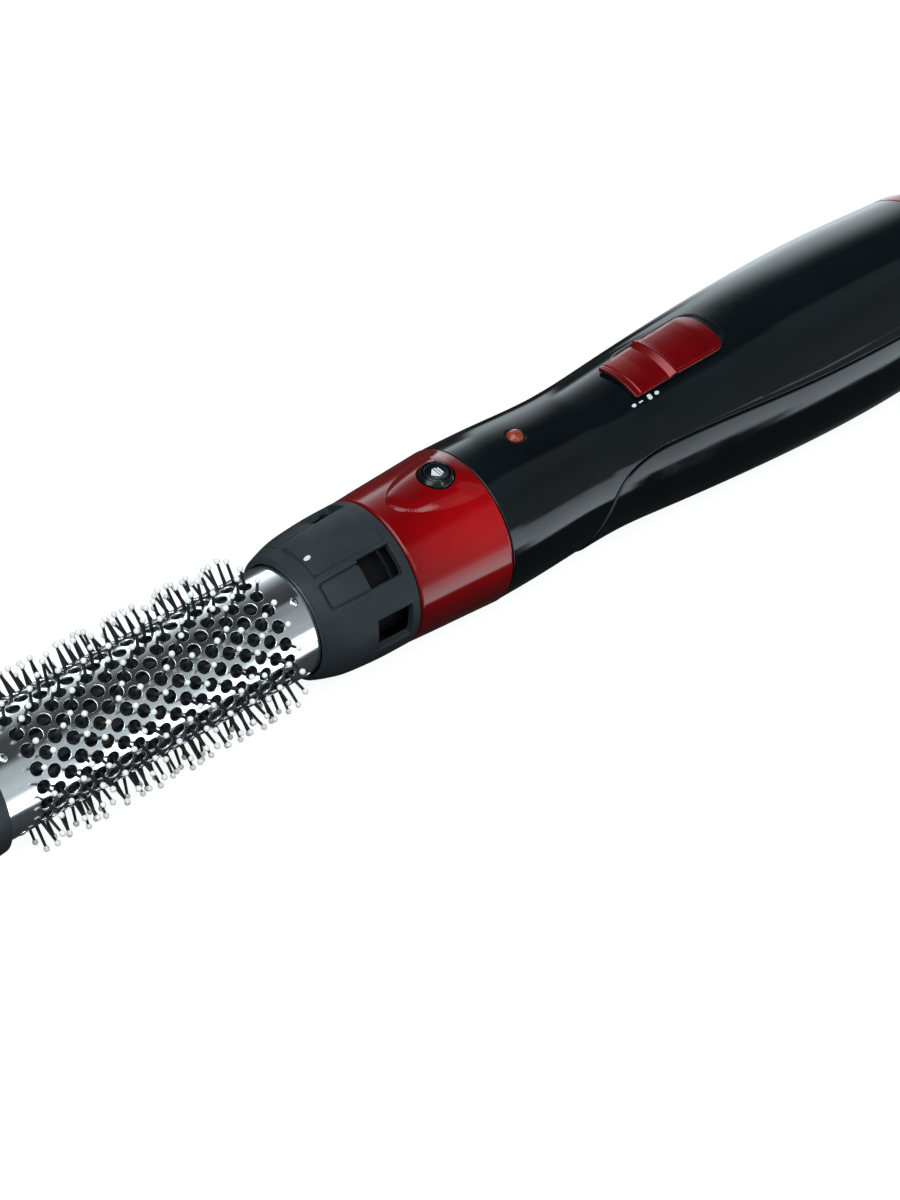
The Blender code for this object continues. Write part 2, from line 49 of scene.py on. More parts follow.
# ----------------------------------------------------------------- numbers
def spline(points):
    """A natural cubic curve through (x, y) points."""
    x = np.array([p[0] for p in points], float)
    y = np.array([p[1] for p in points], float)
    n, h = len(x), np.diff(x)
    left, right = np.eye(n), np.zeros(n)
    for i in range(1, n - 1):
        left[i, i - 1:i + 2] = h[i - 1], 2.0 * (h[i - 1] + h[i]), h[i]
        right[i] = 6.0 * ((y[i + 1] - y[i]) / h[i] - (y[i] - y[i - 1]) / h[i - 1])
    m = np.linalg.solve(left, right)

    def value(t):
        t = np.clip(np.asarray(t, float), x[0], x[-1])
        i = np.clip(np.searchsorted(x, t) - 1, 0, n - 2)
        d0, d1 = t - x[i], x[i + 1] - t
        return ((m[i] * d1 ** 3 + m[i + 1] * d0 ** 3) / (6.0 * h[i])
                + (y[i] / h[i] - m[i] * h[i] / 6.0) * d1
                + (y[i + 1] / h[i] - m[i + 1] * h[i] / 6.0) * d0)

    return value


def step(x, lo, hi):
    """Smooth rise from 0 at lo to 1 at hi."""
    t = np.clip((np.asarray(x, float) - lo) / (hi - lo), 0.0, 1.0)
    return t * t * (3.0 - 2.0 * t)


def rounding(d, r):
    """Depth below the surface at distance d inside an edge that is rounded by r."""
    t = np.clip(r - np.asarray(d, float), 0.0, r)
    return r - np.sqrt(np.maximum(r * r - t * t, 0.0))


ROUND = (0.04, 0.15, 0.35, 0.65, 1.0)     # shares of a rounding where contour lines go


def rounded_box(x, y, hx, hy, r):
    """Signed distance to a rectangle with rounded corners, negative inside."""
    qx, qy = np.abs(x) - hx + r, np.abs(y) - hy + r
    return np.hypot(np.maximum(qx, 0.0), np.maximum(qy, 0.0)) + np.minimum(np.maximum(qx, qy), 0.0) - r


def rad(degrees):
    return np.radians(degrees)


def around(a, r, phi):
    """Points on the radius r at station a and angle phi."""
    t = rad(phi)
    return np.stack([a, -r * np.sin(t), r * np.cos(t)], -1)


def row(points):
    """Millimetres on the brush's own axis to metres in the shared frame."""
    p = np.asarray(points, float)
    return (p + np.array([-A_MID, 0.0, AXIS_Z])) * 0.001


# ------------------------------------------------------------ sheet builder
class Patch:
    """Polygons over a flat (u, v) sheet, cut along contour lines before they are wrapped."""

    def __init__(self, us, vs):
        self.p = np.array([(u, v) for u in us for v in vs], float)
        n = len(vs)
        self.f = [(i * n + j, (i + 1) * n + j, (i + 1) * n + j + 1, i * n + j + 1)
                  for i in range(len(us) - 1) for j in range(n - 1)]

    def cut(self, field, *levels):
        for level in levels:
            self._cut(field, level)
        return self

    def _cut(self, field, level):
        value = field(self.p[:, 0], self.p[:, 1]) - level
        sign = np.where(value > 1e-4, 1, np.where(value < -1e-4, -1, 0))
        signs = sign.tolist()
        hit, edges = set(), set()
        for k, f in enumerate(self.f):
            s = [signs[i] for i in f]
            if min(s) < 0 < max(s):
                hit.add(k)
                for i, j in zip(f, f[1:] + f[:1]):
                    if signs[i] * signs[j] < 0:
                        edges.add((i, j) if i < j else (j, i))
        if not edges:
            return
        edges = sorted(edges)
        e = np.array(edges)
        pa, pb, fa, fb = self.p[e[:, 0]], self.p[e[:, 1]], value[e[:, 0]], value[e[:, 1]]
        ta, tb = np.zeros(len(e)), np.ones(len(e))
        for _ in range(6):
            t = ta + (tb - ta) * fa / (fa - fb)
            q = pa + (pb - pa) * t[:, None]
            fq = field(q[:, 0], q[:, 1]) - level
            same = fq * fa > 0
            ta, fa = np.where(same, t, ta), np.where(same, fq, fa)
            tb, fb = np.where(same, tb, t), np.where(same, fb, np.where(np.abs(fq) < 1e-12, -1e-12 * np.sign(fa), fq))
        index = {k: len(self.p) + i for i, k in enumerate(edges)}
        self.p = np.concatenate([self.p, q])
        made = []
        for k, f in enumerate(self.f):
            if k not in hit:
                made.append(f)
                continue
            above, below = [], []
            for i, j in zip(f, f[1:] + f[:1]):
                if signs[i] >= 0:
                    above.append(i)
                if signs[i] <= 0:
                    below.append(i)
                if signs[i] * signs[j] < 0:
                    x = index[(i, j) if i < j else (j, i)]
                    above.append(x)
                    below.append(x)
            made += [tuple(s) for s in (above, below) if len(s) > 2]
        self.f = made

    def middles(self):
        size = np.array([len(f) for f in self.f])
        flat = self.p[np.array([i for f in self.f for i in f])]
        return np.add.reduceat(flat, np.concatenate([[0], np.cumsum(size)[:-1]])) / size[:, None]

    def keep(self, field, level=0.0):
        """Keeps the polygons where the field is above the level."""
        c = self.middles()
        ok = field(c[:, 0], c[:, 1]) > level
        self.f = [f for f, k in zip(self.f, ok) if k]
        return self


def finish_mesh(name, verts, faces, mats, body, nodes, normals=None, sharp=None, smooth=None,
                mat_index=None, angle=38.0):
    """Makes the object of one piece. normals gives some corners their own direction."""
    me = bpy.data.meshes.new(name)
    me.from_pydata([tuple(v) for v in row(verts)], [], [tuple(f) for f in faces])
    for m in mats if isinstance(mats, (list, tuple)) else [mats]:
        me.materials.append(m)
    if mat_index is not None:
        me.polygons.foreach_set("material_index", np.asarray(mat_index, np.int32))
    me.polygons.foreach_set("use_smooth", np.ones(len(me.polygons), bool) if smooth is None
                            else np.asarray(smooth, bool))
    me.update()
    bm = bmesh.new()
    bm.from_mesh(me)
    limit = math.radians(angle)
    for e in bm.edges:
        if len(e.link_faces) == 2 and e.calc_face_angle(0.0) > limit:
            e.smooth = False
    if sharp is not None:
        bm.verts.ensure_lookup_table()
        wanted = {tuple(sorted(s)) for s in sharp}
        for e in bm.edges:
            if tuple(sorted((e.verts[0].index, e.verts[1].index))) in wanted:
                e.smooth = False
    bm.to_mesh(me)
    bm.free()
    if normals is not None:
        me.normals_split_custom_set(normals)
    ob = bpy.data.objects.new(name, me)
    scene.collection.objects.link(ob)
    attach(ob, body)
    if nodes:
        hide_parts(*nodes)
    return ob


def wrap(name, patch, place, place_in, mats, body, nodes, flip=True, index_of=None, inside=None, wall=None):
    """Wraps a cut sheet on place(u, v), closes it with place_in(u, v) and gives the outside exact normals."""
    used = sorted({i for f in patch.f for i in f})
    u, v = patch.p[used, 0], patch.p[used, 1]
    out = place(u, v)
    inn = place_in(u, v)
    eps = 0.012
    du = place(u + eps, v) - place(u - eps, v)
    dv = place(u, v + eps) - place(u, v - eps)
    n = np.cross(dv, du) if flip else np.cross(du, dv)
    n /= np.maximum(np.linalg.norm(n, axis=1), 1e-12)[:, None]
    number, ids, first = {}, {}, []
    for k, i in enumerate(used):
        key = tuple(np.round(out[k], 4) + 0.0)
        if key not in number:
            number[key] = len(first)
            first.append(k)
        ids[i] = number[key]
    count = len(first)
    faces, kinds = [], []
    centres = patch.middles()
    picked = index_of(centres[:, 0], centres[:, 1]) if index_of else np.zeros(len(patch.f), int)
    for f, m in zip(patch.f, picked):
        g = [ids[i] for i in f]
        g = [x for k, x in enumerate(g) if x != g[k - 1]]
        if len(set(g)) == len(g) and len(g) > 2:
            faces.append((tuple(reversed(g)) if flip else tuple(g), int(m)))
    ways = {}
    for f, m in faces:
        for i, j in zip(f, f[1:] + f[:1]):
            ways.setdefault((min(i, j), max(i, j)), []).append((i, j, m))
    walls = [w[0] for w in ways.values() if len(w) == 1]
    all_faces = [f for f, _ in faces] + [tuple(x + count for x in reversed(f)) for f, _ in faces]
    index = [m for _, m in faces] + [m if inside is None else inside for _, m in faces]
    smooth = [True] * len(all_faces)
    for i, j, m in walls:
        all_faces.append((j, i, i + count, j + count))
        index.append(m if wall is None else wall)
        smooth.append(False)
    verts = np.concatenate([out[first], inn[first]])
    corner = []
    nf = n[first]
    for k, f in enumerate(all_faces):
        corner += [tuple(nf[i]) for i in f] if k < len(faces) else [(0.0, 0.0, 0.0)] * len(f)
    edges = [(i, j) for i, j, _ in walls] + [(i + count, j + count) for i, j, _ in walls]
    return finish_mesh(name, verts, all_faces, mats, body, nodes, corner, edges, smooth, index, 180.0)


# ---------------------------------------------------------- turned pieces
def fillet(points, radii, n=5):
    """A profile whose corners are rounded by the given radii."""
    out, count = [], len(points)
    for i, (p, r) in enumerate(zip(points, radii)):
        p = np.array(p, float)
        a, b = np.array(points[i - 1], float), np.array(points[(i + 1) % count], float)
        ua, ub = a - p, b - p
        la, lb = np.linalg.norm(ua), np.linalg.norm(ub)
        if r <= 0.0 or la < 1e-9 or lb < 1e-9:
            out.append(tuple(p))
            continue
        ua, ub = ua / la, ub / lb
        half = 0.5 * math.acos(float(np.clip(ua @ ub, -1.0, 1.0)))
        if half > 1.5:
            out.append(tuple(p))
            continue
        t = min(r / math.tan(half), 0.49 * la, 0.49 * lb)
        r = t * math.tan(half)
        mid = (ua + ub) / np.linalg.norm(ua + ub) * (r / math.sin(half)) + p
        s, e = p + ua * t - mid, p + ub * t - mid
        turn = math.acos(float(np.clip((s @ e) / (r * r), -1.0, 1.0)))
        for k in range(n + 1):
            w = k / n
            out.append(tuple(mid + (math.sin((1.0 - w) * turn) * s + math.sin(w * turn) * e) / math.sin(turn)))
    return out


def turn_mesh(profile, segs, centre=None, closed=True):
    """Vertices and faces of a turned shape: about the long axis, or about the upright line at a centre station."""
    verts, faces, rings = [], [], []
    for x, r in profile:
        if r < 1e-6:
            rings.append([len(verts)])
            verts.append((x, 0.0, 0.0) if centre is None else (centre[0], centre[1], x))
            continue
        ring = []
        for k in range(segs):
            t = 2.0 * math.pi * k / segs
            ring.append(len(verts))
            if centre is None:
                verts.append((x, -r * math.sin(t), r * math.cos(t)))
            else:
                verts.append((centre[0] + r * math.cos(t), centre[1] + r * math.sin(t), x))
        rings.append(ring)
    pairs = list(zip(rings, rings[1:])) + ([(rings[-1], rings[0])] if closed else [])
    for a, b in pairs:
        if len(a) == 1 and len(b) == 1:
            continue
        for k in range(segs):
            k2 = (k + 1) % segs
            if len(a) == 1:
                faces.append((a[0], b[k2], b[k]))
            elif len(b) == 1:
                faces.append((a[k], a[k2], b[0]))
            else:
                faces.append((a[k], a[k2], b[k2], b[k]))
    return verts, faces


def outward(verts, faces):
    """Turns the faces of a closed body to the outside."""
    v = np.asarray(verts, float)
    tri = np.array([(f[0], f[k], f[k + 1]) for f in faces for k in range(1, len(f) - 1)])
    volume = float(np.sum(v[tri[:, 0]] * np.cross(v[tri[:, 1]], v[tri[:, 2]])))
    return [tuple(reversed(f)) for f in faces] if volume < 0.0 else faces


def turned(name, profile, mats, body, nodes, segs=128, centre=None, angle=38.0):
    verts, faces = turn_mesh(profile, segs, centre)
    return finish_mesh(name, verts, outward(verts, faces), mats, body, nodes, angle=angle)


# --------------------------------------------------------------- materials
def nodes_of(name):
    mat = bpy.data.materials.new(name)
    mat.use_nodes = True
    tree = mat.node_tree
    return mat, tree, tree.nodes["Principled BSDF"]


def noise(tree, size_mm, detail=2.0, stretch=None, rough=0.5):
    """A noise whose grains are about size_mm across, in the shared frame."""
    coord = tree.nodes.new("ShaderNodeTexCoord")
    tex = tree.nodes.new("ShaderNodeTexNoise")
    tex.inputs["Scale"].default_value = 1000.0 / size_mm
    tex.inputs["Detail"].default_value = detail
    tex.inputs["Roughness"].default_value = rough
    if stretch:
        place = tree.nodes.new("ShaderNodeMapping")
        place.inputs["Scale"].default_value = stretch
        tree.links.new(coord.outputs["Object"], place.inputs["Vector"])
        tree.links.new(place.outputs["Vector"], tex.inputs["Vector"])
    else:
        tree.links.new(coord.outputs["Object"], tex.inputs["Vector"])
    return tex.outputs["Fac"]


def tint(tree, fac, dark, light, lo=0.35, hi=0.65):
    ramp = tree.nodes.new("ShaderNodeValToRGB")
    ramp.color_ramp.elements[0].position = lo
    ramp.color_ramp.elements[0].color = (*dark, 1.0)
    ramp.color_ramp.elements[1].position = hi
    ramp.color_ramp.elements[1].color = (*light, 1.0)
    tree.links.new(fac, ramp.inputs["Fac"])
    return ramp.outputs["Color"]


def spread(tree, fac, lo, hi):
    m = tree.nodes.new("ShaderNodeMapRange")
    m.inputs["From Min"].default_value = 0.3
    m.inputs["From Max"].default_value = 0.7
    m.inputs["To Min"].default_value = lo
    m.inputs["To Max"].default_value = hi
    tree.links.new(fac, m.inputs["Value"])
    return m.outputs["Result"]


def bump(tree, fac, depth_mm, strength=1.0):
    b = tree.nodes.new("ShaderNodeBump")
    b.inputs["Strength"].default_value = strength
    b.inputs["Distance"].default_value = depth_mm * 0.001
    tree.links.new(fac, b.inputs["Height"])
    return b.outputs["Normal"]


def surface(name, dark, light, rough, patch_mm=18.0, rough_mm=6.0, grain_mm=0.0, grain_depth=0.0,
            metal=0.0, coat=0.0, coat_rough=0.03, ior=1.5, stretch=None, detail=2.0, coat_ior=1.4, spec=None):
    """A moulded, plated or painted finish: drifting colour, drifting gloss and a fine grain."""
    mat, tree, bsdf = nodes_of(name)
    tree.links.new(tint(tree, noise(tree, patch_mm, detail, stretch), dark, light), bsdf.inputs["Base Color"])
    tree.links.new(spread(tree, noise(tree, rough_mm, 3.0, stretch), *rough), bsdf.inputs["Roughness"])
    if grain_mm:
        tree.links.new(bump(tree, noise(tree, grain_mm, 2.0), grain_depth), bsdf.inputs["Normal"])
    bsdf.inputs["Metallic"].default_value = metal
    bsdf.inputs["IOR"].default_value = ior
    if spec is not None:
        bsdf.inputs["Specular IOR Level"].default_value = spec
    if coat:
        bsdf.inputs["Coat Weight"].default_value = coat
        bsdf.inputs["Coat Roughness"].default_value = coat_rough
        bsdf.inputs["Coat IOR"].default_value = coat_ior
    return mat


BLACK = surface("black_gloss_plastic", (0.0018, 0.0031, 0.0040), (0.0026, 0.0043, 0.0055), (0.05, 0.10), 30.0, 9.0, ior=1.41)
BLACK_COVER = surface("black_cover_plastic", (0.0016, 0.0028, 0.0036), (0.0024, 0.0039, 0.0050), (0.06, 0.12), 26.0, 7.0, ior=1.41)
SATIN = surface("charcoal_satin_plastic", (0.0185, 0.0235, 0.0273), (0.0235, 0.0290, 0.0335), (0.46, 0.58), 9.0, 3.0, 0.22, 0.006, spec=0.22)
CAP = surface("cap_satin_plastic", (0.022, 0.028, 0.032), (0.028, 0.035, 0.040), (0.42, 0.54), 9.0, 3.0, 0.25, 0.006, spec=0.3)
RED = surface("candy_red_paint", (0.150, 0.0004, 0.0012), (0.175, 0.0007, 0.0018), (0.34, 0.44), 14.0, 5.0, 0.0, 0.0,
              0.15, 1.0, 0.02, spec=0.0)
RED_KNOB = surface("dark_red_paint", (0.147, 0.0010, 0.0020), (0.175, 0.0014, 0.0028), (0.24, 0.32), 9.0, 3.0, 0.0, 0.0,
                   0.45, 1.0, 0.03, spec=0.0)
CHROME = surface("chrome_plate", (0.91, 0.92, 0.93), (0.97, 0.97, 0.98), (0.09, 0.16), 5.0, 2.5, 0.0, 0.0, 1.0,
                 0.0, 0.03, 1.5, (0.35, 1.0, 1.0))
MATTE = surface("black_matte_plastic", (0.008, 0.009, 0.010), (0.014, 0.015, 0.017), (0.42, 0.6), 8.0, 2.5, 0.3, 0.010)
# Inner black plastic, painted darker than the matte black so that the hollows behind the collar's windows read as shade
# (painted shade); it also colours the switch cap's side walls as painted shade.
INNER_AND_SHADE = surface("inner_black_and_painted_shade", (0.0035, 0.0038, 0.0042), (0.0065, 0.0068, 0.0074), (0.6, 0.8), 8.0, 2.5, 0.3, 0.010, spec=0.12)
NYLON = surface("bristle_nylon", (0.004, 0.004, 0.005), (0.010, 0.010, 0.011), (0.36, 0.52), 2.0, 0.8, spec=0.25)
TIP = surface("bristle_tip", (0.88, 0.89, 0.88), (0.96, 0.97, 0.96), (0.30, 0.42), 2.0, 0.8)
STEEL = surface("plain_steel", (0.36, 0.36, 0.37), (0.52, 0.52, 0.53), (0.25, 0.42), 4.0, 0.8, 0.0, 0.0, 1.0,
                0.0, 0.03, 1.5, (6.0, 1.0, 1.0))
WIRE = surface("heater_wire", (0.30, 0.20, 0.14), (0.46, 0.36, 0.28), (0.32, 0.5), 3.0, 1.0, 0.0, 0.0, 1.0)
MICA = surface("mica_board", (0.42, 0.30, 0.16), (0.62, 0.50, 0.32), (0.45, 0.7), 3.0, 1.5, 0.6, 0.02, detail=5.0)
LENS = surface("lamp_lens", (0.20, 0.022, 0.010), (0.28, 0.036, 0.016), (0.24, 0.34), 1.6, 1.0, 0.0, 0.0, 0.0, 0.4, 0.16)
BOARD = surface("board_green", (0.02, 0.13, 0.045), (0.04, 0.22, 0.08), (0.4, 0.55), 2.5, 2.0, 0.5, 0.01)
FOAM = surface("filter_foam", (0.02, 0.02, 0.021), (0.075, 0.075, 0.078), (0.85, 1.0), 1.2, 1.0, 0.9, 0.25, detail=4.0)
WHITE = surface("white_nylon", (0.60, 0.60, 0.57), (0.74, 0.74, 0.71), (0.4, 0.55), 4.0, 2.0, 0.4, 0.01)
PRINT = surface("white_print", (0.62, 0.66, 0.68), (0.74, 0.78, 0.80), (0.45, 0.6), 0.8, 0.5, 0.15, 0.003)

PLAIN = {"black_gloss": BLACK, "black_matte": MATTE, "collar_grey": SATIN, "red_gloss": RED, "red_switch": RED_KNOB,
         "chrome": CHROME, "steel": STEEL, "heater_wire": WIRE, "mica": MICA, "lens_red": LENS, "board_green": BOARD,
         "bristle": NYLON, "foam": FOAM, "white_part": WHITE}
KIND = {"nozzle_spigot": MATTE, "outlet_grille": MATTE, "heat_shield": MICA, "heater_board_upright": MICA,
        "heater_board_flat": MICA, "heater_coil": WIRE, "thermostat": STEEL, "thermal_fuse": WHITE,
        "circuit_board": BOARD, "led": WHITE, "switch_body": MATTE, "ion_module": MATTE, "ion_needle": STEEL,
        "motor_can": STEEL, "motor_mount": MATTE, "intake_filter": FOAM, "gland_retainer": MATTE,
        "screw_left": STEEL, "screw_right": STEEL, "button_spring": STEEL, "latch_hook": MATTE,
        "motor_shaft": STEEL, "fan_impeller": MATTE, "barrel_retainer": MATTE, "bristle_core": MATTE}
for node, mat in KIND.items():
    ob = NODES[node]
    ob.data.materials.clear()
    ob.data.materials.append(mat)

# ------------------------------------------------------------------ handle
HANDLE = spline([(56.0, 21.9), (67.0, 21.82), (78.0, 21.5), (94.0, 20.95), (106.0, 21.38), (115.0, 22.12), (125.0, 23.03), (138.0, 24.12),
                 (151.0, 25.1), (164.0, 25.92), (175.0, 26.48), (190.0, 26.98), (205.0, 27.08), (220.0, 26.74), (238.5, 26.03), (241.0, 25.93)])
SHELL_END = 237.2
SEAM = [(88.6, -9.0), (90.6, -3.5), (93.4, 2.0), (96.6, 6.0), (100.8, 8.9), (105.5, 10.5), (111.0, 11.5),
        (120.0, 12.05), (130.0, 12.2), (150.0, 11.95), (170.0, 11.6), (190.0, 11.55), (250.0, 10.8)]
_s = np.concatenate([[0.0], np.cumsum([math.dist(p, q) for p, q in zip(SEAM, SEAM[1:])])])
_t = np.concatenate([np.linspace(0.0, 30.0, 60), np.linspace(31.0, _s[-1], 60)])
_line = np.stack([spline(list(zip(_s, [p[0] for p in SEAM])))(_t), spline(list(zip(_s, [p[1] for p in SEAM])))(_t)], -1)
SEAM_LINE = np.concatenate([[(88.0, -40.0), (88.3, -24.0)], _line])


def seam(a, phi):
    """Distance in side view from the lower cover's edge, positive on the main shell."""
    p = np.stack([np.asarray(a, float), HANDLE(a) * np.cos(rad(phi))], -1)
    s, e = SEAM_LINE[:-1], SEAM_LINE[1:]
    d = e - s
    best, signed = np.full(len(p), 1e9), np.zeros(len(p))
    for k in range(len(s)):
        w = p - s[k]
        t = np.clip((w @ d[k]) / (d[k] @ d[k]), 0.0, 1.0)
        off = w - t[:, None] * d[k]
        dist = np.hypot(off[:, 0], off[:, 1])
        near = dist < best
        best = np.where(near, dist, best)
        signed = np.where(near, np.where(d[k, 0] * w[:, 1] - d[k, 1] * w[:, 0] >= 0.0, dist, -dist), signed)
    return signed


def ledge(a):
    """Width of the shadow ledge above the seam, which opens towards the tail."""
    return np.interp(np.asarray(a, float), [108.0, 128.0, 150.0, 176.0, 205.0, 240.0], [0.0, 0.7, 1.2, 1.65, 2.5, 3.2])


def track(a):
    """Radius of the sloping line that the switch slides along, just clear of the shell."""
    return 22.08 + 0.0825 * (np.asarray(a, float) - 112.6)


LAMP_A, LAMP_Y = 76.3, 0.7


def on_top(phi, value):
    """Keeps a field to the upper half of the handle."""
    return np.where(np.abs(np.asarray(phi, float)) < 90.0, value, 99.0)


def lamp(a, phi):
    return on_top(phi, np.hypot(np.asarray(a, float) - LAMP_A, HANDLE(a) * np.sin(rad(phi)) + LAMP_Y) - 2.95)


def slot_out(a, phi):
    return on_top(phi, rounded_box(np.asarray(a, float) - 128.0, HANDLE(a) * np.sin(rad(phi)), 6.6, 2.1, 0.3))


def pocket(a, phi):
    """Distance inside the shallow pocket that shows along the switch's far side and rear."""
    s = rad(phi) * HANDLE(a)
    return -rounded_box(np.asarray(a, float) - 134.0, s + 2.55, 16.0, 9.55, 6.0)


def shell_r(a, phi):
    a = np.asarray(a, float)
    r = HANDLE(a) - 0.48 * step(pocket(a, phi), 0.0, 2.2)
    d = seam(a, phi) - 0.15
    w = ledge(a)
    deep = 0.05 + 0.14 * np.clip(d / np.maximum(w, 0.4), 0.0, 1.0)
    r = r - np.where(w > 0.02, deep * (1.0 - step(d, w - 0.04, w + 0.10)), 0.0) * step(w, 0.0, 0.35)
    r = r - rounding(d, 0.30) - rounding(a - 58.0, 0.35) - rounding(SHELL_END - a, 0.35)
    return r - rounding(np.maximum(lamp(a, phi), 0.0), 0.18)


shell = Patch(np.concatenate([np.linspace(58.0, 108.0, 34), np.linspace(109.5, 154.5, 31), np.linspace(156.0, SHELL_END, 52)]),
              np.linspace(-180.0, 180.0, 145))
shell.cut(seam, 0.15).keep(seam, 0.15)
shell.cut(seam, *(0.15 + 0.30 * k for k in ROUND))
for w in (-0.04, 0.03, 0.10):
    shell.cut(lambda a, p: seam(a, p) - 0.15 - np.maximum(ledge(a), 0.4) - w, 0.0)
shell.cut(lamp, 0.0).keep(lamp).cut(lamp, *(0.18 * k for k in ROUND))
shell.cut(slot_out, 0.0).keep(slot_out)
shell.cut(pocket, 0.0, 0.4, 0.8, 1.2, 1.7, 2.2)
shell.cut(lambda a, p: a, *(58.0 + 0.35 * k for k in ROUND), *(SHELL_END - 0.35 * k for k in ROUND))
wrap("main_shell_skin", shell, lambda a, p: around(a, shell_r(a, p), p),
     lambda a, p: around(a, np.minimum(shell_r(a, p) - 1.0, HANDLE(a) - 2.1), p), BLACK, "handle", ["main_shell"])

SCREWS = ((150.0, -9.0), (150.0, 9.0))


def screw(a, phi):
    y = -HANDLE(a) * np.sin(rad(phi))
    d = np.full(np.shape(y), 99.0)
    for sa, sy in SCREWS:
        d = np.minimum(d, np.hypot(np.asarray(a, float) - sa, y - sy) - 2.8)
    return np.where(np.abs(np.asarray(phi)) > 90.0, d, 99.0)


def cover_at(a, phi):
    a = np.asarray(a, float)
    r = HANDLE(a) + 0.42 * (1.0 - step(a, 88.0, 112.0))
    r = r - rounding(-seam(a, phi) - 0.15, 0.42) - rounding(SHELL_END - a, 0.35)
    p = around(a, r, phi)
    z = p[:, 2]
    p[:, 2] = 0.005 - AXIS_Z + 0.12 * np.logaddexp(0.0, (z + AXIS_Z) / 0.12)
    d = screw(a, phi)
    p[:, 2] += rounding(np.maximum(d, 0.0), 0.3)
    p[:, 2] = np.where(d < 0.0, p[:, 2] + (-20.2 - p[:, 2]) * step(-d, 0.0, 0.15), p[:, 2])
    return p


def cover_in(a, phi):
    p = around(a, HANDLE(a) - 2.0, phi)
    p[:, 2] = np.maximum(p[:, 2], 1.2 - AXIS_Z)
    d = screw(a, phi)
    p[:, 2] = np.where(d < 0.9, np.maximum(p[:, 2], -19.0), p[:, 2])
    return p


def below(a, phi):
    return -seam(a, phi)


cover = Patch(np.concatenate([np.linspace(87.0, 112.0, 24), np.linspace(113.6, 145.0, 20), np.linspace(146.0, 154.0, 9), np.linspace(155.6, SHELL_END, 52)]),
              np.linspace(-180.0, 180.0, 145))
cover.cut(below, 0.15).keep(below, 0.15).cut(below, *(0.15 + 0.42 * k for k in ROUND))
cover.cut(screw, 0.0, -0.05, -0.10, -0.15, *(0.3 * k for k in ROUND))
cover.cut(lambda a, p: HANDLE(a) * np.cos(rad(p)) + AXIS_Z, 0.3, 0.1, -0.05, -0.25)
cover.cut(lambda a, p: a, *(SHELL_END - 0.35 * k for k in ROUND))
wrap("lower_cover_skin", cover, cover_at, cover_in, BLACK_COVER, "handle", ["lower_cover"])

# a tongue behind the joint of shell and cover
tongue = Patch(np.concatenate([np.linspace(87.0, 112.0, 24), np.linspace(113.6, SHELL_END, 60)]), np.linspace(-180.0, 180.0, 121))
tongue.cut(seam, -0.7, 0.7).keep(seam, -0.7).keep(below, -0.7)
wrap("joint_tongue", tongue, lambda a, p: around(a, HANDLE(a) - 0.85, p), lambda a, p: around(a, HANDLE(a) - 1.7, p), INNER_AND_SHADE, "handle", None)

# --------------------------------------------------------- front ring, button
RING = spline([(27.0, 20.08), (36.0, 20.72), (46.0, 21.32), (52.0, 21.69), (58.5, 22.09)])
BOSS_TOP = spline([(31.0, -0.9), (33.0, 0.0), (37.0, 1.0), (41.0, 1.65), (45.0, 2.02), (49.6, 2.12), (53.0, 1.75), (56.0, 0.75), (58.5, -0.2)])


def boss_half(a):
    return 27.5 * np.sqrt(np.clip(1.0 - ((57.5 - np.asarray(a, float)) / 24.7) ** 2, 0.0, 1.0))


def boss(a, phi):
    """Height of the raised boss under the button, with a fillet round its foot."""
    w = np.maximum(boss_half(a), 1e-3)
    t = np.clip(1.0 - np.abs(np.asarray(phi, float)) / w, 0.0, 1.0)
    foot = np.clip(t / 0.16, 0.0, 1.0)
    crown = 1.0 - (1.0 - t) ** 2.6
    return np.clip(BOSS_TOP(a), 0.0, 9.0) * crown * (0.35 + 0.65 * foot * foot * (3.0 - 2.0 * foot))


BUTTON_A = 48.3


def button_out(a, phi):
    return on_top(phi, np.hypot(np.asarray(a, float) - BUTTON_A, (RING(a) + boss(a, phi)) * np.sin(rad(phi))) - 5.0)


def ring_r(a, phi):
    a = np.asarray(a, float)
    return (RING(a) + boss(a, phi) - rounding(a - 28.3, 0.95) - rounding(57.7 - a, 0.4)
            - rounding(np.maximum(button_out(a, phi), 0.0), 0.3))


def boss_edge(a, phi):
    return np.abs(np.asarray(phi, float)) - boss_half(a)


ring = Patch(np.linspace(28.3, 57.7, 44), np.concatenate([np.linspace(-180.0, -42.0, 47), np.linspace(-40.0, 40.0, 65), np.linspace(42.0, 180.0, 47)]))
ring.cut(boss_edge, 0.0, -0.5, 0.5)
ring.cut(button_out, 0.0).keep(button_out).cut(button_out, *(0.3 * k for k in ROUND))
ring.cut(lambda a, p: a, *(28.3 + 0.95 * k for k in ROUND), *(57.7 - 0.4 * k for k in ROUND))
wrap("front_ring_skin", ring, lambda a, p: around(a, ring_r(a, p), p),
     lambda a, p: around(a, np.interp(a, [28.3, 36.0, 57.0], [18.3, 18.7, 19.75]), p), [RED, INNER_AND_SHADE], "handle", ["front_ring"],
     inside=1)

turned("ring_joint_gasket", [(57.66, 19.8), (57.66, 21.25), (58.04, 21.25), (58.04, 19.8)], INNER_AND_SHADE, "handle", None, 128)
turned("button_bezel_rim", fillet([(20.6, 3.8), (23.95, 3.8), (24.15, 4.0), (23.15, 4.72), (22.1, 4.88), (20.6, 4.6)], [0.0, 0.12, 0.15, 0.4, 0.3, 0.0]),
       BLACK, "handle", ["button_bezel"], 72, (BUTTON_A, 0.0))
turned("release_button_face", fillet([(23.72, 0.0), (23.76, 1.3), (24.03, 2.75), (24.1, 3.15), (23.8, 3.5), (19.0, 3.5), (19.0, 2.6), (23.25, 2.6), (23.25, 0.0)],
                                     [0.0, 1.0, 0.4, 0.3, 0.3, 0.1, 0.1, 0.1, 0.0]),
       BLACK, "button", ["release_button"], 72, (BUTTON_A, 0.0))


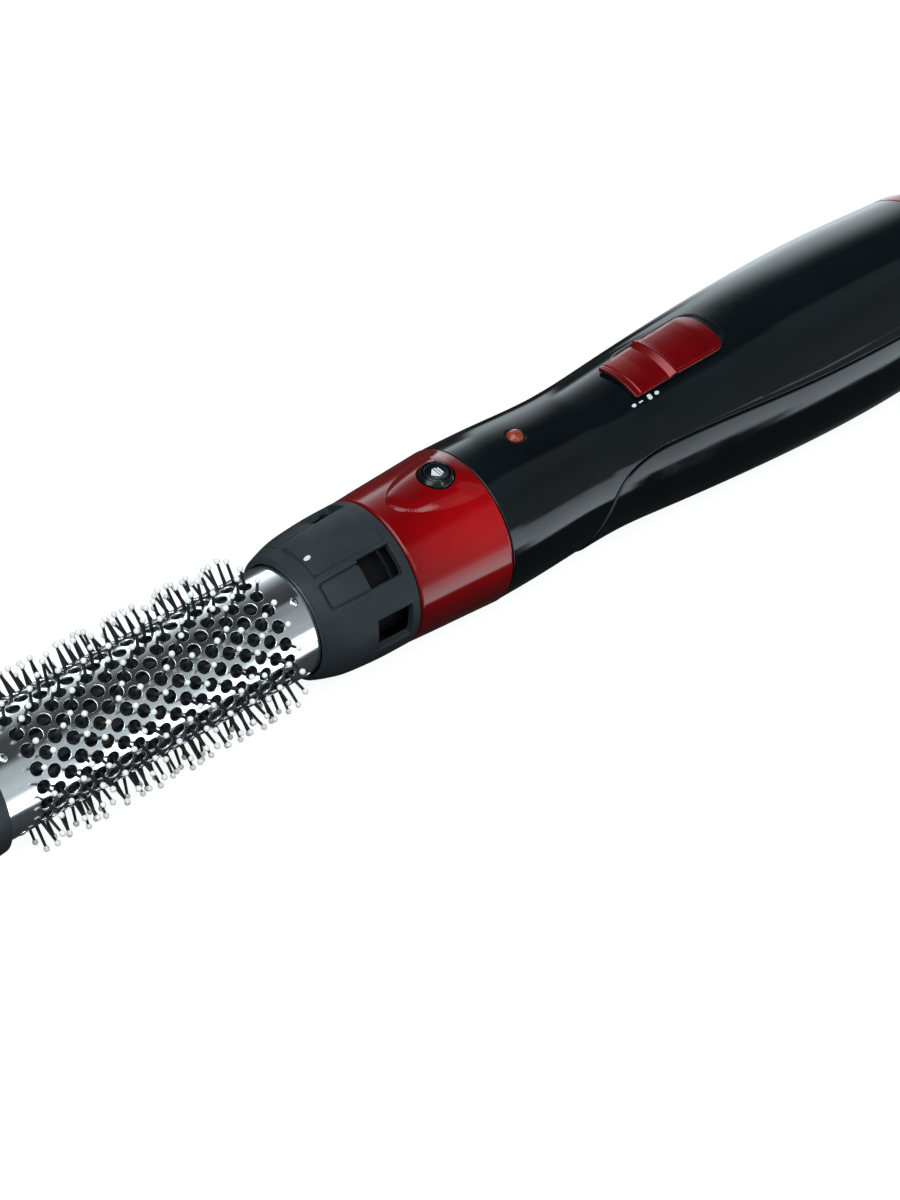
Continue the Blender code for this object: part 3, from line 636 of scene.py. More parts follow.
def inlay(name, shapes, place, mats, body, deep=0.05):
    """Thin printed marks. Each shape is a ring of (u, v) points that place lays on a surface at a lift."""
    verts, faces = [], []
    for shape in shapes:
        n, base = len(shape), len(verts)
        u, v = np.array([p[0] for p in shape], float), np.array([p[1] for p in shape], float)
        top, low = place(u, v, 0.03), place(u, v, -deep)
        mid = place(np.array([u.mean()]), np.array([v.mean()]), 0.034)
        verts += [tuple(p) for p in top] + [tuple(p) for p in low] + [tuple(mid[0])]
        for k in range(n):
            j = (k + 1) % n
            faces.append((base + k, base + j, base + 2 * n))
            faces.append((base + j, base + k, base + n + k, base + n + j))
        faces.append(tuple(base + n + k for k in reversed(range(n))))
    return finish_mesh(name, verts, outward(verts, faces), mats, body, None, angle=30.0)


def rounded_ring(points, r, n=4):
    return fillet(points, [r] * len(points), n)


def on_button(u, v, lift):
    """u towards the tail, v towards +Y, on the dished face of the button."""
    d = np.hypot(u, v)
    return np.stack([BUTTON_A + u, v, np.interp(d, [0.0, 1.3, 2.75], [23.72, 23.76, 24.02]) + lift], -1)


inlay("button_arrow_mark", [rounded_ring([(-1.75, 0.0), (0.1, -1.85), (0.1, 1.85)], 0.12),
                            rounded_ring([(0.4, -1.55), (0.85, -1.55), (0.85, 1.55), (0.4, 1.55)], 0.1),
                            rounded_ring([(1.15, -1.2), (1.6, -1.2), (1.6, 1.2), (1.15, 1.2)], 0.1)],
      on_button, PRINT, "button", 0.12)

# ------------------------------------------------------------ lamp, marks
turned("led_lens_dome", fillet([(22.8, 0.0), (22.64, 1.0), (22.15, 1.8), (21.4, 2.3), (20.2, 2.3), (20.2, 0.0)], [0.0, 1.8, 1.2, 0.3, 0.1, 0.0]),
       LENS, "handle", ["led_lens"], 48, (LAMP_A, LAMP_Y))
turned("led_lens_seat", fillet([(20.3, 2.27), (21.05, 2.27), (21.2, 2.6), (21.25, 3.05), (20.3, 3.05)], [0.0, 0.1, 0.2, 0.05, 0.0]),
       INNER_AND_SHADE, "handle", None, 48, (LAMP_A, LAMP_Y))


def on_shell(u, v, lift):
    """u is the station, v the distance round the shell from the marks' middle line."""
    return around(u, HANDLE(u) + lift, 21.7 + np.degrees(v / HANDLE(u)))


def disc(u, v, ru, rv, n=18):
    return [(u + ru * math.cos(2.0 * math.pi * k / n), v + rv * math.sin(2.0 * math.pi * k / n)) for k in range(n)]


inlay("switch_position_marks", [disc(111.4, 0.0, 0.72, 0.5),
                                rounded_ring([(113.2, -0.22), (114.5, -0.22), (114.5, 0.22), (113.2, 0.22)], 0.1),
                                rounded_ring([(116.3, -0.8), (117.6, -0.8), (117.6, 0.8), (116.3, 0.8)], 0.4),
                                disc(119.5, 0.0, 0.72, 0.55)], on_shell, PRINT, "handle", 0.12)


# ------------------------------------------------------------------ switch
KNOB_A0, KNOB_A1 = 112.6, 146.0


def knob_out(a, phi):
    """Distance inside the knob's outline: square front corners, a bowed rear end with wide corners."""
    s = rad(phi) * 24.3
    x = np.asarray(a, float) - 0.5 * (KNOB_A0 + KNOB_A1)
    bow = np.where(x > 0.0, 0.55 * (s / 7.9) ** 2 * step(x, 4.0, 14.0), 0.0)
    return -rounded_box(x + bow, s, 0.5 * (KNOB_A1 - KNOB_A0), 7.95, np.where(x > 0.0, 3.6, 0.6))


KNOB_TOP = spline([(110.0, 1.48), (113.5, 1.52), (116.0, 1.66), (119.0, 1.78), (121.5, 1.83), (123.6, 1.86), (124.3, 1.92), (125.0, 2.24), (125.7, 2.62), (126.2, 2.86), (126.55, 2.90),
                   (126.95, 2.62), (127.3, 2.34), (127.7, 2.25), (128.2, 2.22), (128.8, 2.10), (130.0, 2.05), (136.0, 2.02), (141.4, 1.96), (143.0, 1.72),
                   (146.0, 1.08), (147.0, 0.9)])


def knob_r(a, phi):
    a = np.asarray(a, float)
    d = knob_out(a, phi)
    groove = 0.16 * np.exp(-((a - 128.55) / 0.20) ** 2) + 0.20 * np.exp(-((a - 114.3) / 0.25) ** 2)
    edge = 1.0 - step(a, 140.0, 144.0)
    return track(a) + KNOB_TOP(a) - groove * step(d, 0.3, 0.9) - rounding(d, 0.28) - 0.25 * (1.0 - step(d, 0.3, 1.5)) * edge * 0.5


knob = Patch(np.concatenate([np.linspace(KNOB_A0, 114.9, 15), np.linspace(115.6, 123.0, 9), np.linspace(123.4, 129.4, 31), np.linspace(130.2, KNOB_A1, 21)]),
             np.linspace(-19.2, 19.2, 41))
knob.cut(knob_out, 0.0).keep(knob_out).cut(knob_out, *(0.28 * k for k in ROUND), 0.9, 1.5)
# The cap's underside and side walls take the inner black; on the side walls this is painted shade along the cap's
# edges.
wrap("switch_knob_cap", knob, lambda a, p: around(a, knob_r(a, p), p), lambda a, p: around(a, track(a) + 0.3, p),
     [RED_KNOB, INNER_AND_SHADE], "switch", ["switch_knob"], inside=1, wall=1)

# ------------------------------------------------------------------ collar
COLLAR = spline([(-1.0, 16.35), (0.0, 16.75), (3.0, 17.8), (7.0, 18.9), (12.6, 19.62), (18.0, 20.02), (24.0, 20.17), (29.0, 20.22)])
COLLAR_IN = spline([(2.5, 16.4), (7.0, 17.1), (12.6, 17.7), (18.0, 18.1), (28.0, 18.2)])
WINDOWS = [(c, 20.45, 4.95, 4.3) for c in (36.3, 143.7, 216.3, 323.7)] + [(c, 20.1, 5.4, 5.1) for c in (87.0, 273.0)]
PANELS = (37.7, 142.3, 217.7, 322.3)


def away(phi, centre):
    return (np.asarray(phi, float) - centre + 180.0) % 360.0 - 180.0


def window_out(a, phi):
    d = np.full(np.shape(a), 99.0)
    for c, mid, half_a, half_s in WINDOWS:
        d = np.minimum(d, rounded_box(np.asarray(a, float) - mid, rad(away(phi, c)) * 20.1, half_a, half_s, 0.6))
    return d


def panel_in(a, phi):
    d = np.full(np.shape(a), 99.0)
    for c in PANELS:
        d = np.minimum(d, rounded_box(np.asarray(a, float) - 10.2, rad(away(phi, c)) * 19.2, 6.6, 3.95, 0.9))
    return d


def pad_in(a, phi):
    """Distance inside the raised pads on the top and the bottom."""
    a = np.asarray(a, float)
    half = 20.6 + 1.6 * (a - 3.0) / 23.0
    d = np.full(np.shape(a), -99.0)
    for c in (0.0, 180.0):
        s = rad(np.abs(away(phi, c)) - half) * 19.6
        d = np.maximum(d, -np.maximum(s, np.abs(a - 14.3) - 10.7))
    return d


def collar_r(a, phi):
    a = np.asarray(a, float)
    r = COLLAR(a) - rounding(a, 0.55) - rounding(28.0 - a, 0.35)
    r = r + 0.85 * step(pad_in(a, phi), 0.0, 0.6)
    q = -panel_in(a, phi)
    r = r - 0.95 * step(q, 0.0, 0.2) + 0.72 * step(q, 0.5, 0.72)
    return r - rounding(np.maximum(window_out(a, phi), 0.0), 0.25)


def collar_in(a, phi):
    a = np.asarray(a, float)
    r = np.where(a < 2.3, 15.35, COLLAR_IN(np.maximum(a, 2.5)))
    y = 20.0 * np.sin(rad(phi))
    return np.where((a > 21.4) & (np.abs(y) < 3.9) & (np.cos(rad(phi)) > 0.0), 19.8 / np.maximum(np.cos(rad(phi)), 0.5), r)


collar = Patch(np.concatenate([[0.0, 2.2, 2.4], np.linspace(3.0, 28.0, 31)]), np.linspace(-180.0, 180.0, 181))
collar.cut(window_out, 0.0).keep(window_out).cut(window_out, *(0.25 * k for k in ROUND))
collar.cut(pad_in, 0.0, 0.15, 0.3, 0.45, 0.6)
collar.cut(panel_in, 0.0, -0.07, -0.13, -0.2, -0.5, -0.57, -0.65, -0.72)
collar.cut(lambda a, p: a, *(0.55 * k for k in ROUND), *(28.0 - 0.35 * k for k in ROUND))
wrap("head_collar_skin", collar, lambda a, p: around(a, collar_r(a, p), p), lambda a, p: around(a, collar_in(a, p), p),
     SATIN, "head", ["head_collar"])

# a rib across each slanted window, behind the collar's face
for k, c in enumerate((36.3, 143.7, 216.3, 323.7)):
    rib = Patch(np.linspace(22.2, 23.2, 5), np.linspace(c - 12.6, c + 12.6, 15))
    wrap("collar_window_rib_%d" % (k + 1), rib, lambda a, p: around(a, 18.95 - 1.2 * (a - 22.7) ** 2, p), lambda a, p: around(a, 18.2 + 0.0 * a, p),
         INNER_AND_SHADE, "head", None)

# the pale alignment pip on the collar's top pad
verts, faces, n_u, n_v = [], [], 24, 7
for i in range(n_v):
    t = 0.5 * math.pi * i / (n_v - 1)
    for k in range(n_u):
        w = 2.0 * math.pi * k / n_u
        a, s = 5.45 + 1.02 * math.cos(w) * math.cos(t), 0.72 * math.sin(w) * math.cos(t)
        r = float(COLLAR(5.45)) + 0.7 + 0.55 * (a - 5.45) * 0.5 + 0.42 * math.sin(t)
        verts.append(tuple(around(np.array(a), np.array(r), np.array(4.2 + math.degrees(s / 19.4)))))
for i in range(n_v - 1):
    for k in range(n_u):
        j = (k + 1) % n_u
        faces.append((i * n_u + k, i * n_u + j, (i + 1) * n_u + j, (i + 1) * n_u + k))
faces += [tuple(reversed(range(n_u)))]
bm_v, bm_f = verts, outward(verts, faces)
finish_mesh("collar_pip", bm_v, bm_f, PRINT, "head", None, angle=50.0)

# ------------------------------------------------------------------ barrel
BARREL_R, BARREL_IN = 15.0, 14.4
HOLE_A0, HOLE_PITCH, RINGS, ROUND_N = -9.8, 3.75, 20, 20
HOLE_R = 1.71


def perforated():
    """The plated tube: one square cell for each punched hole, and plain bands at its ends."""
    verts, faces, normals, index = [], [], [], {}

    def vert(a, phi, r, n):
        key = (round(a, 4), round(phi % 360.0, 4) % 360.0, round(r, 4))
        if key not in index:
            index[key] = len(verts)
            verts.append(tuple(around(np.array(a), np.array(r), np.array(phi))))
            normals.append(n)
        return index[key]

    def radial(phi, tilt=0.0, along=0.0, side=0.0):
        t = math.radians(phi)
        out = Vector((0.0, -math.sin(t), math.cos(t)))
        tan = Vector((0.0, -math.cos(t), -math.sin(t)))
        return tuple((out * math.cos(tilt) + (Vector((1.0, 0.0, 0.0)) * along + tan * side) * math.sin(tilt)).normalized())

    half_a, half_p = 0.5 * HOLE_PITCH, 180.0 / ROUND_N
    square = []
    for k in range(4):
        square.append((-1.0, -1.0 + 0.5 * k))
    for k in range(4):
        square.append((-1.0 + 0.5 * k, 1.0))
    for k in range(4):
        square.append((1.0, 1.0 - 0.5 * k))
    for k in range(4):
        square.append((1.0 - 0.5 * k, -1.0))
    turns = [math.atan2(y * half_p * math.pi / 180.0 * BARREL_R, x * half_a) for x, y in square]
    arc = math.degrees(1.0 / BARREL_R)
    lips = ((0.13, 15.0, 0.0), (0.08, 14.98, -0.5), (0.03, 14.92, -1.0), (0.0, 14.82, -1.45), (0.0, 14.42, -1.57), (0.02, BARREL_IN, -2.4))
    for k in range(RINGS):
        ca = HOLE_A0 - HOLE_PITCH * k
        for j in range(ROUND_N):
            cp = 360.0 * j / ROUND_N + (4.5 if k % 2 == 0 else -4.5)
            points = []
            for i in range(16):
                t0, t1 = turns[i], turns[(i + 1) % 16]
                if t1 - t0 > math.pi:
                    t1 -= 2.0 * math.pi
                if t1 - t0 < -math.pi:
                    t1 += 2.0 * math.pi
                points += [t0, 0.5 * (t0 + t1)]
            loops = []
            for grow, r, tilt in lips:
                loops.append([vert(ca + (HOLE_R + grow) * math.cos(t), cp + (HOLE_R + grow) * math.sin(t) * arc, r,
                                   radial(cp + (HOLE_R + grow) * math.sin(t) * arc, tilt, math.cos(t), math.sin(t))) for t in points])
            outer = [vert(ca + x * half_a, cp + y * half_p, BARREL_R, radial(cp + y * half_p)) for x, y in square]
            inner = [vert(ca + x * half_a, cp + y * half_p, BARREL_IN, tuple(-c for c in radial(cp + y * half_p))) for x, y in square]
            for i in range(16):
                i2 = (i + 1) % 16
                h = [(2 * i + q) % 32 for q in (0, 1, 2)]
                faces.append((outer[i], outer[i2], loops[0][h[2]], loops[0][h[1]], loops[0][h[0]]))
                faces.append((inner[i2], inner[i], loops[-1][h[0]], loops[-1][h[1]], loops[-1][h[2]]))
            for lo, hi in zip(loops, loops[1:]):
                for i in range(32):
                    i2 = (i + 1) % 32
                    faces.append((lo[i], lo[i2], hi[i2], hi[i]))
    # plain bands: from the hole field to each end, where a flat ring closes the tube's wall
    cols = [4.5 * k for k in range(80)]
    for start, line in ((HOLE_A0 + half_a, [-6.9, -5.9, -4.8, -3.7, -2.6, -1.5, 0.0, 5.0, 9.6, 10.0]),
                        (HOLE_A0 - HOLE_PITCH * (RINGS - 1) - half_a, [-84.0, -85.2, -86.4, -87.6, -88.8, -90.0, -91.2])):
        stations = [start] + line
        fine = [2.25 * k for k in range(160)]
        for r, sign in ((BARREL_R, 1.0), (BARREL_IN, -1.0)):
            for s0, s1 in zip(stations, stations[1:]):
                for k in range(len(cols)):
                    p0, p1 = cols[k], cols[k] + 4.5
                    q = [vert(s0, p0, r, tuple(sign * c for c in radial(p0))), vert(s0, p1, r, tuple(sign * c for c in radial(p1))),
                         vert(s1, p1, r, tuple(sign * c for c in radial(p1))), vert(s1, p0, r, tuple(sign * c for c in radial(p0)))]
                    faces.append(tuple(q if (sign > 0) == (s1 < s0) else reversed(q)))
        end = stations[-1]
        for k in range(len(cols)):
            p0, p1 = cols[k], cols[k] + 4.5
            q = [vert(end, p0, BARREL_R, radial(p0)), vert(end, p1, BARREL_R, radial(p1)),
                 vert(end, p1, BARREL_IN, radial(p1)), vert(end, p0, BARREL_IN, radial(p0))]
            faces.append(tuple(q if end < 0.0 and end < -50.0 else reversed(q)))
    return verts, faces, normals


verts, faces, normals = perforated()
V, N = np.asarray(verts), np.asarray(normals)
probe = np.array([(f[0], f[1], f[2], f[-1]) for f in faces])
facing = np.cross(V[probe[:, 1]] - V[probe[:, 0]], V[probe[:, 2]] - V[probe[:, 0]]) + np.cross(V[probe[:, 2]] - V[probe[:, 0]], V[probe[:, 3]] - V[probe[:, 0]])
right_way = np.sum(facing * (N[probe].sum(1)), 1) >= 0.0
fixed = [f if ok else tuple(reversed(f)) for f, ok in zip(faces, right_way)]
corner = [normals[i] for f in fixed for i in f]
finish_mesh("barrel_tube", verts, fixed, CHROME, "head", ["barrel"], corner, angle=180.0)

# crimp dimples in the plain bands
dimples = []
verts, faces = [], []
for a in (-2.7, -87.0):
    for c in (27.0, 117.0, 207.0, 297.0):
        base = len(verts)
        for i in range(6):
            t = 0.5 * math.pi * i / 5.0
            for k in range(20):
                w = 2.0 * math.pi * k / 20.0
                rr = 1.15 * math.cos(t)
                verts.append(tuple(around(np.array(a + rr * math.cos(w)), np.array(14.85 + 0.5 * math.sin(t)),
                                          np.array(c + math.degrees(rr * math.sin(w) / 15.0)))))
        for i in range(5):
            for k in range(20):
                j = (k + 1) % 20
                faces.append((base + i * 20 + k, base + i * 20 + j, base + (i + 1) * 20 + j, base + (i + 1) * 20 + k))
        faces.append(tuple(base + k for k in reversed(range(20))))
finish_mesh("barrel_crimps", verts, outward(verts, faces), CHROME, "head", None, angle=60.0)

# ---------------------------------------------------------------- bristles
rng = random.Random(7)


def bristles(k):
    """One strip with its three staggered lines of ball-tipped bristles."""
    verts, faces, mats = [], [], []
    centre = 36.0 * k
    # the strip, a bar with rounded long edges that lies on the core
    prof = fillet([(-3.8, 12.5), (3.8, 12.5), (3.8, 13.5), (-3.8, 13.5)], [0.2, 0.2, 0.45, 0.45], 3)
    t = math.radians(centre)
    for a in (-83.6, -7.5):
        for y, z in prof:
            verts.append((a, y * math.cos(t) - z * math.sin(t), y * math.sin(t) + z * math.cos(t)))
    n = len(prof)
    for i in range(n):
        j = (i + 1) % n
        faces.append((i, j, n + j, n + i))
        mats.append(0)
    faces += [tuple(reversed(range(n))), tuple(range(n, 2 * n))]
    mats += [0, 0]
    lines = [(n, 4.5 if n % 2 == 0 else -4.5) for n in range(RINGS)]
    lines += [(n, -13.5 if n % 4 == 0 else 13.5) for n in range(RINGS) if n % 4 in (0, 3)]
    for ring_no, off in lines:
        a = HOLE_A0 - HOLE_PITCH * ring_no
        phi = centre + off
        lean_a, lean_s = rng.uniform(-0.13, 0.13), rng.uniform(-0.10, 0.10) + (0.06 if ring_no % 2 == 0 else -0.06)
        tip = 20.75 + rng.uniform(-0.35, 0.35)
        tt = math.radians(phi)
        out = np.array([0.0, -math.sin(tt), math.cos(tt)])
        tan = np.array([0.0, -math.cos(tt), -math.sin(tt)])
        ax = np.array([1.0, 0.0, 0.0])

        def at(r):
            h = r - 15.0
            bend = h + 0.035 * h * abs(h)
            return np.array([a, 0.0, 0.0]) + out * r + ax * lean_a * bend + tan * lean_s * bend

        radii = ((13.2, 0.62), (14.6, 0.52), (16.2, 0.45), (18.2, 0.40), (tip - 0.45, 0.37))
        base, m = len(verts), 8
        for r, w in radii:
            c = at(r)
            for q in range(m):
                ang = 2.0 * math.pi * q / m
                verts.append(tuple(c + ax * w * math.cos(ang) + tan * w * math.sin(ang)))
        for i in range(len(radii) - 1):
            for q in range(m):
                q2 = (q + 1) % m
                faces.append((base + i * m + q, base + i * m + q2, base + (i + 1) * m + q2, base + (i + 1) * m + q))
                mats.append(0)
        faces += [tuple(base + q for q in reversed(range(m))), tuple(base + (len(radii) - 1) * m + q for q in range(m))]
        mats += [0, 0]
        c, size, base = at(tip), 0.76 + rng.uniform(-0.05, 0.05), len(verts)
        lat, lon = 6, 10
        verts.append(tuple(c - out * size))
        for i in range(1, lat):
            w = -0.5 * math.pi + math.pi * i / lat
            for q in range(lon):
                ang = 2.0 * math.pi * q / lon
                verts.append(tuple(c + out * size * math.sin(w) + (ax * math.cos(ang) + tan * math.sin(ang)) * size * math.cos(w)))
        verts.append(tuple(c + out * size))
        last = len(verts) - 1
        for q in range(lon):
            q2 = (q + 1) % lon
            faces.append((base, base + 1 + q2, base + 1 + q))
            faces.append((last, last - lon + q, last - lon + q2))
            mats += [1, 1]
            for i in range(lat - 2):
                s0, s1 = base + 1 + i * lon, base + 1 + (i + 1) * lon
                faces.append((s0 + q, s0 + q2, s1 + q2, s1 + q))
                mats.append(1)
    v = np.asarray(verts)
    # every closed bit is turned to the outside by its own middle
    finish = finish_mesh("bristle_comb_%02d_pins" % (k + 1), verts, faces, [NYLON, TIP], "head",
                         ["bristle_comb_%02d" % (k + 1)], mat_index=mats, angle=50.0)
    bm = bmesh.new()
    bm.from_mesh(finish.data)
    bmesh.ops.recalc_face_normals(bm, faces=bm.faces)
    bm.to_mesh(finish.data)
    bm.free()
    return finish


for k in range(10):
    bristles(k)

# ---------------------------------------------------------------- tip cap
turned("tip_cap_nose", fillet([(-105.4, 0.0), (-105.4, 5.5), (-104.3, 10.6), (-102.3, 14.2), (-99.1, 16.4), (-95.2, 17.0), (-91.5, 16.6),
                               (-91.5, 14.1), (-85.7, 14.1), (-85.7, 12.6), (-102.7, 12.6), (-102.7, 0.0)],
                              [0.0, 6.0, 6.0, 5.0, 6.0, 8.0, 0.5, 0.2, 0.3, 0.2, 0.3, 0.0], 7),
       CAP, "head", ["tip_cap"], 128)

# -------------------------------------------------------------------- tail
turned("tail_ring_trim", fillet([(237.5, 23.2), (237.5, 26.04), (242.0, 25.95), (245.0, 25.4), (247.2, 24.3), (247.2, 21.9)], [0.1, 0.45, 5.0, 4.0, 0.9, 0.1], 6),
       RED, "handle", ["tail_ring"], 160)

GRILLE = [(247.5, 24.2), (250.5, 22.9), (254.0, 20.7), (257.0, 17.5), (259.5, 13.0), (260.5, 9.4)]
_g = np.concatenate([[0.0], np.cumsum([math.dist(p, q) for p, q in zip(GRILLE, GRILLE[1:])])])
GRILLE_A, GRILLE_R = spline(list(zip(_g, [p[0] for p in GRILLE]))), spline(list(zip(_g, [p[1] for p in GRILLE])))


def vents(u, phi):
    r = GRILLE_R(u)
    d = np.full(np.shape(u), 99.0)
    for k in range(12):
        s = rad(away(phi, 30.0 * k + 7.5)) * r
        d = np.minimum(d, rounded_box(r - 16.9, s, 4.1, 1.3, 1.25))
    return d


def grille_at(u, phi, drop=0.0):
    u = np.clip(np.asarray(u, float), 0.0, _g[-1])
    d = vents(u, phi)
    lower = rounding(np.maximum(d, 0.0), 0.35) + rounding(u, 0.5) + drop
    da = (GRILLE_A(np.minimum(u + 0.05, _g[-1])) - GRILLE_A(np.maximum(u - 0.05, 0.0)))
    dr = (GRILLE_R(np.minimum(u + 0.05, _g[-1])) - GRILLE_R(np.maximum(u - 0.05, 0.0)))
    n = np.hypot(da, dr)
    return around(GRILLE_A(u) + lower * dr / n, GRILLE_R(u) - lower * da / n, phi)


grille = Patch(np.linspace(0.0, _g[-1], 34), np.linspace(-180.0, 180.0, 181))
grille.cut(vents, 0.0).keep(vents).cut(vents, *(0.35 * k for k in ROUND))
grille.cut(lambda u, p: u, *(0.5 * k for k in ROUND))
wrap("intake_grille_cage", grille, grille_at, lambda u, p: grille_at(u, p, 1.9), MATTE, "handle", ["intake_grille"])

ribs = [(251.6, 3.6), (251.6, 8.95), (255.2, 8.95), (255.2, 11.0), (257.0, 11.0), (257.0, 9.0), (261.2, 9.0)]
a = 261.2
for k, r in enumerate((8.6, 8.0, 7.3)):
    ribs += [(a, r - 0.75), (a + 0.7, r - 0.75), (a + 0.7, r), (a + 1.9, r - 0.3)]
    a += 1.9
ribs += [(267.0, 6.2), (267.0, 3.6)]
turned("cord_gland_sleeve", fillet(ribs, [0.3] + [0.25] * (len(ribs) - 2) + [0.5], 4), MATTE, "gland", ["cord_gland"], 96)

# ------------------------------------------- nozzle, seen with the head off
turned("nozzle_spigot_tube", fillet([(12.0, 13.2), (12.0, 14.1), (13.0, 14.6), (30.0, 14.6), (30.4, 14.35), (31.6, 14.35), (32.0, 14.6), (55.0, 14.6),
                                     (55.0, 19.2), (56.8, 19.2), (56.8, 13.2)],
                                    [0.2, 0.4, 0.6, 0.1, 0.1, 0.1, 0.1, 0.4, 0.3, 0.2, 0.2], 4),
       INNER_AND_SHADE, "handle", ["nozzle_spigot"], 96)

# ------------------------------------------------------- floor, light, camera
bpy.ops.mesh.primitive_plane_add(size=24.0, location=(0.0, 0.0, -0.0002))
floor = bpy.context.object
floor.name = "floor"
mat, tree, bsdf = nodes_of("studio_floor")
tree.links.new(tint(tree, noise(tree, 400.0), (0.20, 0.20, 0.20), (0.215, 0.215, 0.215)), bsdf.inputs["Base Color"])
bsdf.inputs["Roughness"].default_value = 0.9
bsdf.inputs["Specular IOR Level"].default_value = 0.0
bsdf.inputs["Emission Color"].default_value = (1.0, 1.0, 1.0, 1.0)
bsdf.inputs["Emission Strength"].default_value = 0.90
geo = tree.nodes.new("ShaderNodeNewGeometry")
clear = tree.nodes.new("ShaderNodeBsdfTransparent")
mix = tree.nodes.new("ShaderNodeMixShader")
tree.links.new(geo.outputs["Backfacing"], mix.inputs["Fac"])
tree.links.new(bsdf.outputs["BSDF"], mix.inputs[1])
tree.links.new(clear.outputs["BSDF"], mix.inputs[2])
tree.links.new(mix.outputs["Shader"], tree.nodes["Material Output"].inputs["Surface"])
floor.data.materials.append(mat)
floor.visible_glossy = False
floor.visible_diffuse = False

world = bpy.data.worlds.new("studio")
scene.world = world
world.use_nodes = True
tree = world.node_tree
tree.nodes.clear()
coord = tree.nodes.new("ShaderNodeTexCoord")
split = tree.nodes.new("ShaderNodeSeparateXYZ")
minus = tree.nodes.new("ShaderNodeMath")
minus.operation = "MULTIPLY"
minus.inputs[1].default_value = -1.0
turn = tree.nodes.new("ShaderNodeMath")
turn.operation = "ARCTAN2"
spread_out = tree.nodes.new("ShaderNodeMapRange")
spread_out.inputs["From Min"].default_value = -math.pi
spread_out.inputs["From Max"].default_value = math.pi
# Soft boxes that run along the brush: angle about the long axis from straight up,
# towards the camera's side, and how bright the studio is there. The far box is
# narrow towards the head and wide towards the tail, and one box hangs over the head.
AHEAD = [(-180.0, 0.05), (-60.0, 0.10), (-36.0, 0.3), (-16.0, 3.2), (0.0, 4.2), (28.0, 4.2), (42.0, 0.6), (75.0, 0.5), (118.0, 0.35), (125.0, 0.06), (180.0, 0.05)]
ABOVE = [(-180.0, 0.05), (-60.0, 0.08), (28.0, 0.08), (37.0, 4.2), (60.0, 4.2), (70.0, 0.5), (118.0, 0.35), (125.0, 0.06), (180.0, 0.05)]
FAR_RING = [(-180.0, 0.03), (-95.0, 0.05), (-86.0, 0.10), (-82.0, 0.20), (-78.5, 1.3), (-73.0, 2.8), (-68.0, 2.3), (-60.0, 1.3), (-48.0, 0.55),
            (-37.0, 0.32), (-25.0, 0.13), (-10.0, 0.05)]
FAR_HEAD = [(-180.0, 0.03), (-95.0, 0.05), (-88.0, 0.12), (-85.0, 0.9), (-81.0, 2.6), (-76.0, 2.3), (-69.0, 1.5), (-63.0, 0.98), (-57.0, 0.62),
            (-49.0, 0.28), (-40.0, 0.13), (-25.0, 0.05)]
FAR_MIDDLE = [(-180.0, 0.02), (-112.0, 0.02), (-107.0, 0.08), (-103.0, 1.0), (-97.0, 1.35), (-89.0, 1.65), (-81.0, 1.4), (-73.0, 1.05),
              (-65.0, 0.62), (-57.0, 0.32), (-49.0, 0.13), (-40.0, 0.05)]
FAR_TAIL = [(-180.0, 0.05), (-152.0, 0.1), (-150.0, 0.5), (-143.0, 1.0), (-129.0, 1.15), (-117.0, 1.35), (-109.0, 1.9), (-97.0, 1.75), (-81.0, 1.7),
            (-73.0, 1.6), (-65.0, 1.15), (-57.0, 0.65), (-49.0, 0.22), (-40.0, 0.05)]
FAR_END = [(-180.0, 0.05), (-150.0, 0.10), (-112.0, 0.55), (-90.0, 0.5), (-70.0, 0.3), (-50.0, 0.1), (-40.0, 0.05)]
NEAR_RING = [(24.0, 0.05), (28.0, 0.10), (36.0, 0.36), (48.0, 0.40), (60.0, 0.44), (72.0, 0.52), (86.0, 0.50), (92.0, 1.0), (97.0, 2.1), (108.0, 3.1),
             (118.0, 3.3), (121.5, 0.06), (180.0, 0.03)]
NEAR_HEAD = [(9.0, 0.04), (15.0, 0.30), (30.0, 0.27), (55.0, 0.31), (77.5, 0.34), (80.5, 2.3), (92.0, 2.7), (102.5, 3.2), (105.0, 0.05), (180.0, 0.03)]
NEAR_NECK = [(6.0, 0.04), (11.0, 0.30), (24.0, 0.28), (50.0, 0.30), (77.0, 0.35), (80.0, 2.2), (93.0, 2.6), (106.0, 3.2), (108.5, 0.05), (180.0, 0.03)]
NEAR_MIDDLE = [(3.0, 0.04), (7.0, 0.30), (18.0, 0.33), (32.0, 0.26), (45.0, 0.27), (60.0, 0.33), (82.0, 0.36), (85.0, 2.1), (99.0, 2.6), (115.0, 3.2),
               (118.0, 0.05), (180.0, 0.03)]
NEAR_TAIL = [(3.0, 0.04), (7.0, 0.30), (18.0, 0.33), (32.0, 0.26), (45.0, 0.27), (60.0, 0.33), (90.0, 0.36), (93.0, 2.3), (104.0, 2.7), (117.0, 3.1),
             (120.0, 0.05), (180.0, 0.03)]
TOP = 4.2


def boxes(points):
    ramp = tree.nodes.new("ShaderNodeValToRGB")
    ramp.color_ramp.interpolation = "LINEAR"
    els = ramp.color_ramp.elements
    for angle, value in points[1:-1]:
        els.new((angle + 180.0) / 360.0)
    for e, (angle, value) in zip(els, points):
        e.color = (0.88 * value / TOP, value / TOP, 1.06 * value / TOP, 1.0)
    tree.links.new(spread_out.outputs["Result"], ramp.inputs["Fac"])
    return ramp.outputs["Color"]


def along(lo, hi):
    m = tree.nodes.new("ShaderNodeMapRange")
    m.interpolation_type = "SMOOTHSTEP"
    m.inputs["From Min"].default_value = lo
    m.inputs["From Max"].default_value = hi
    tree.links.new(split.outputs["X"], m.inputs["Value"])
    return m.outputs["Result"]


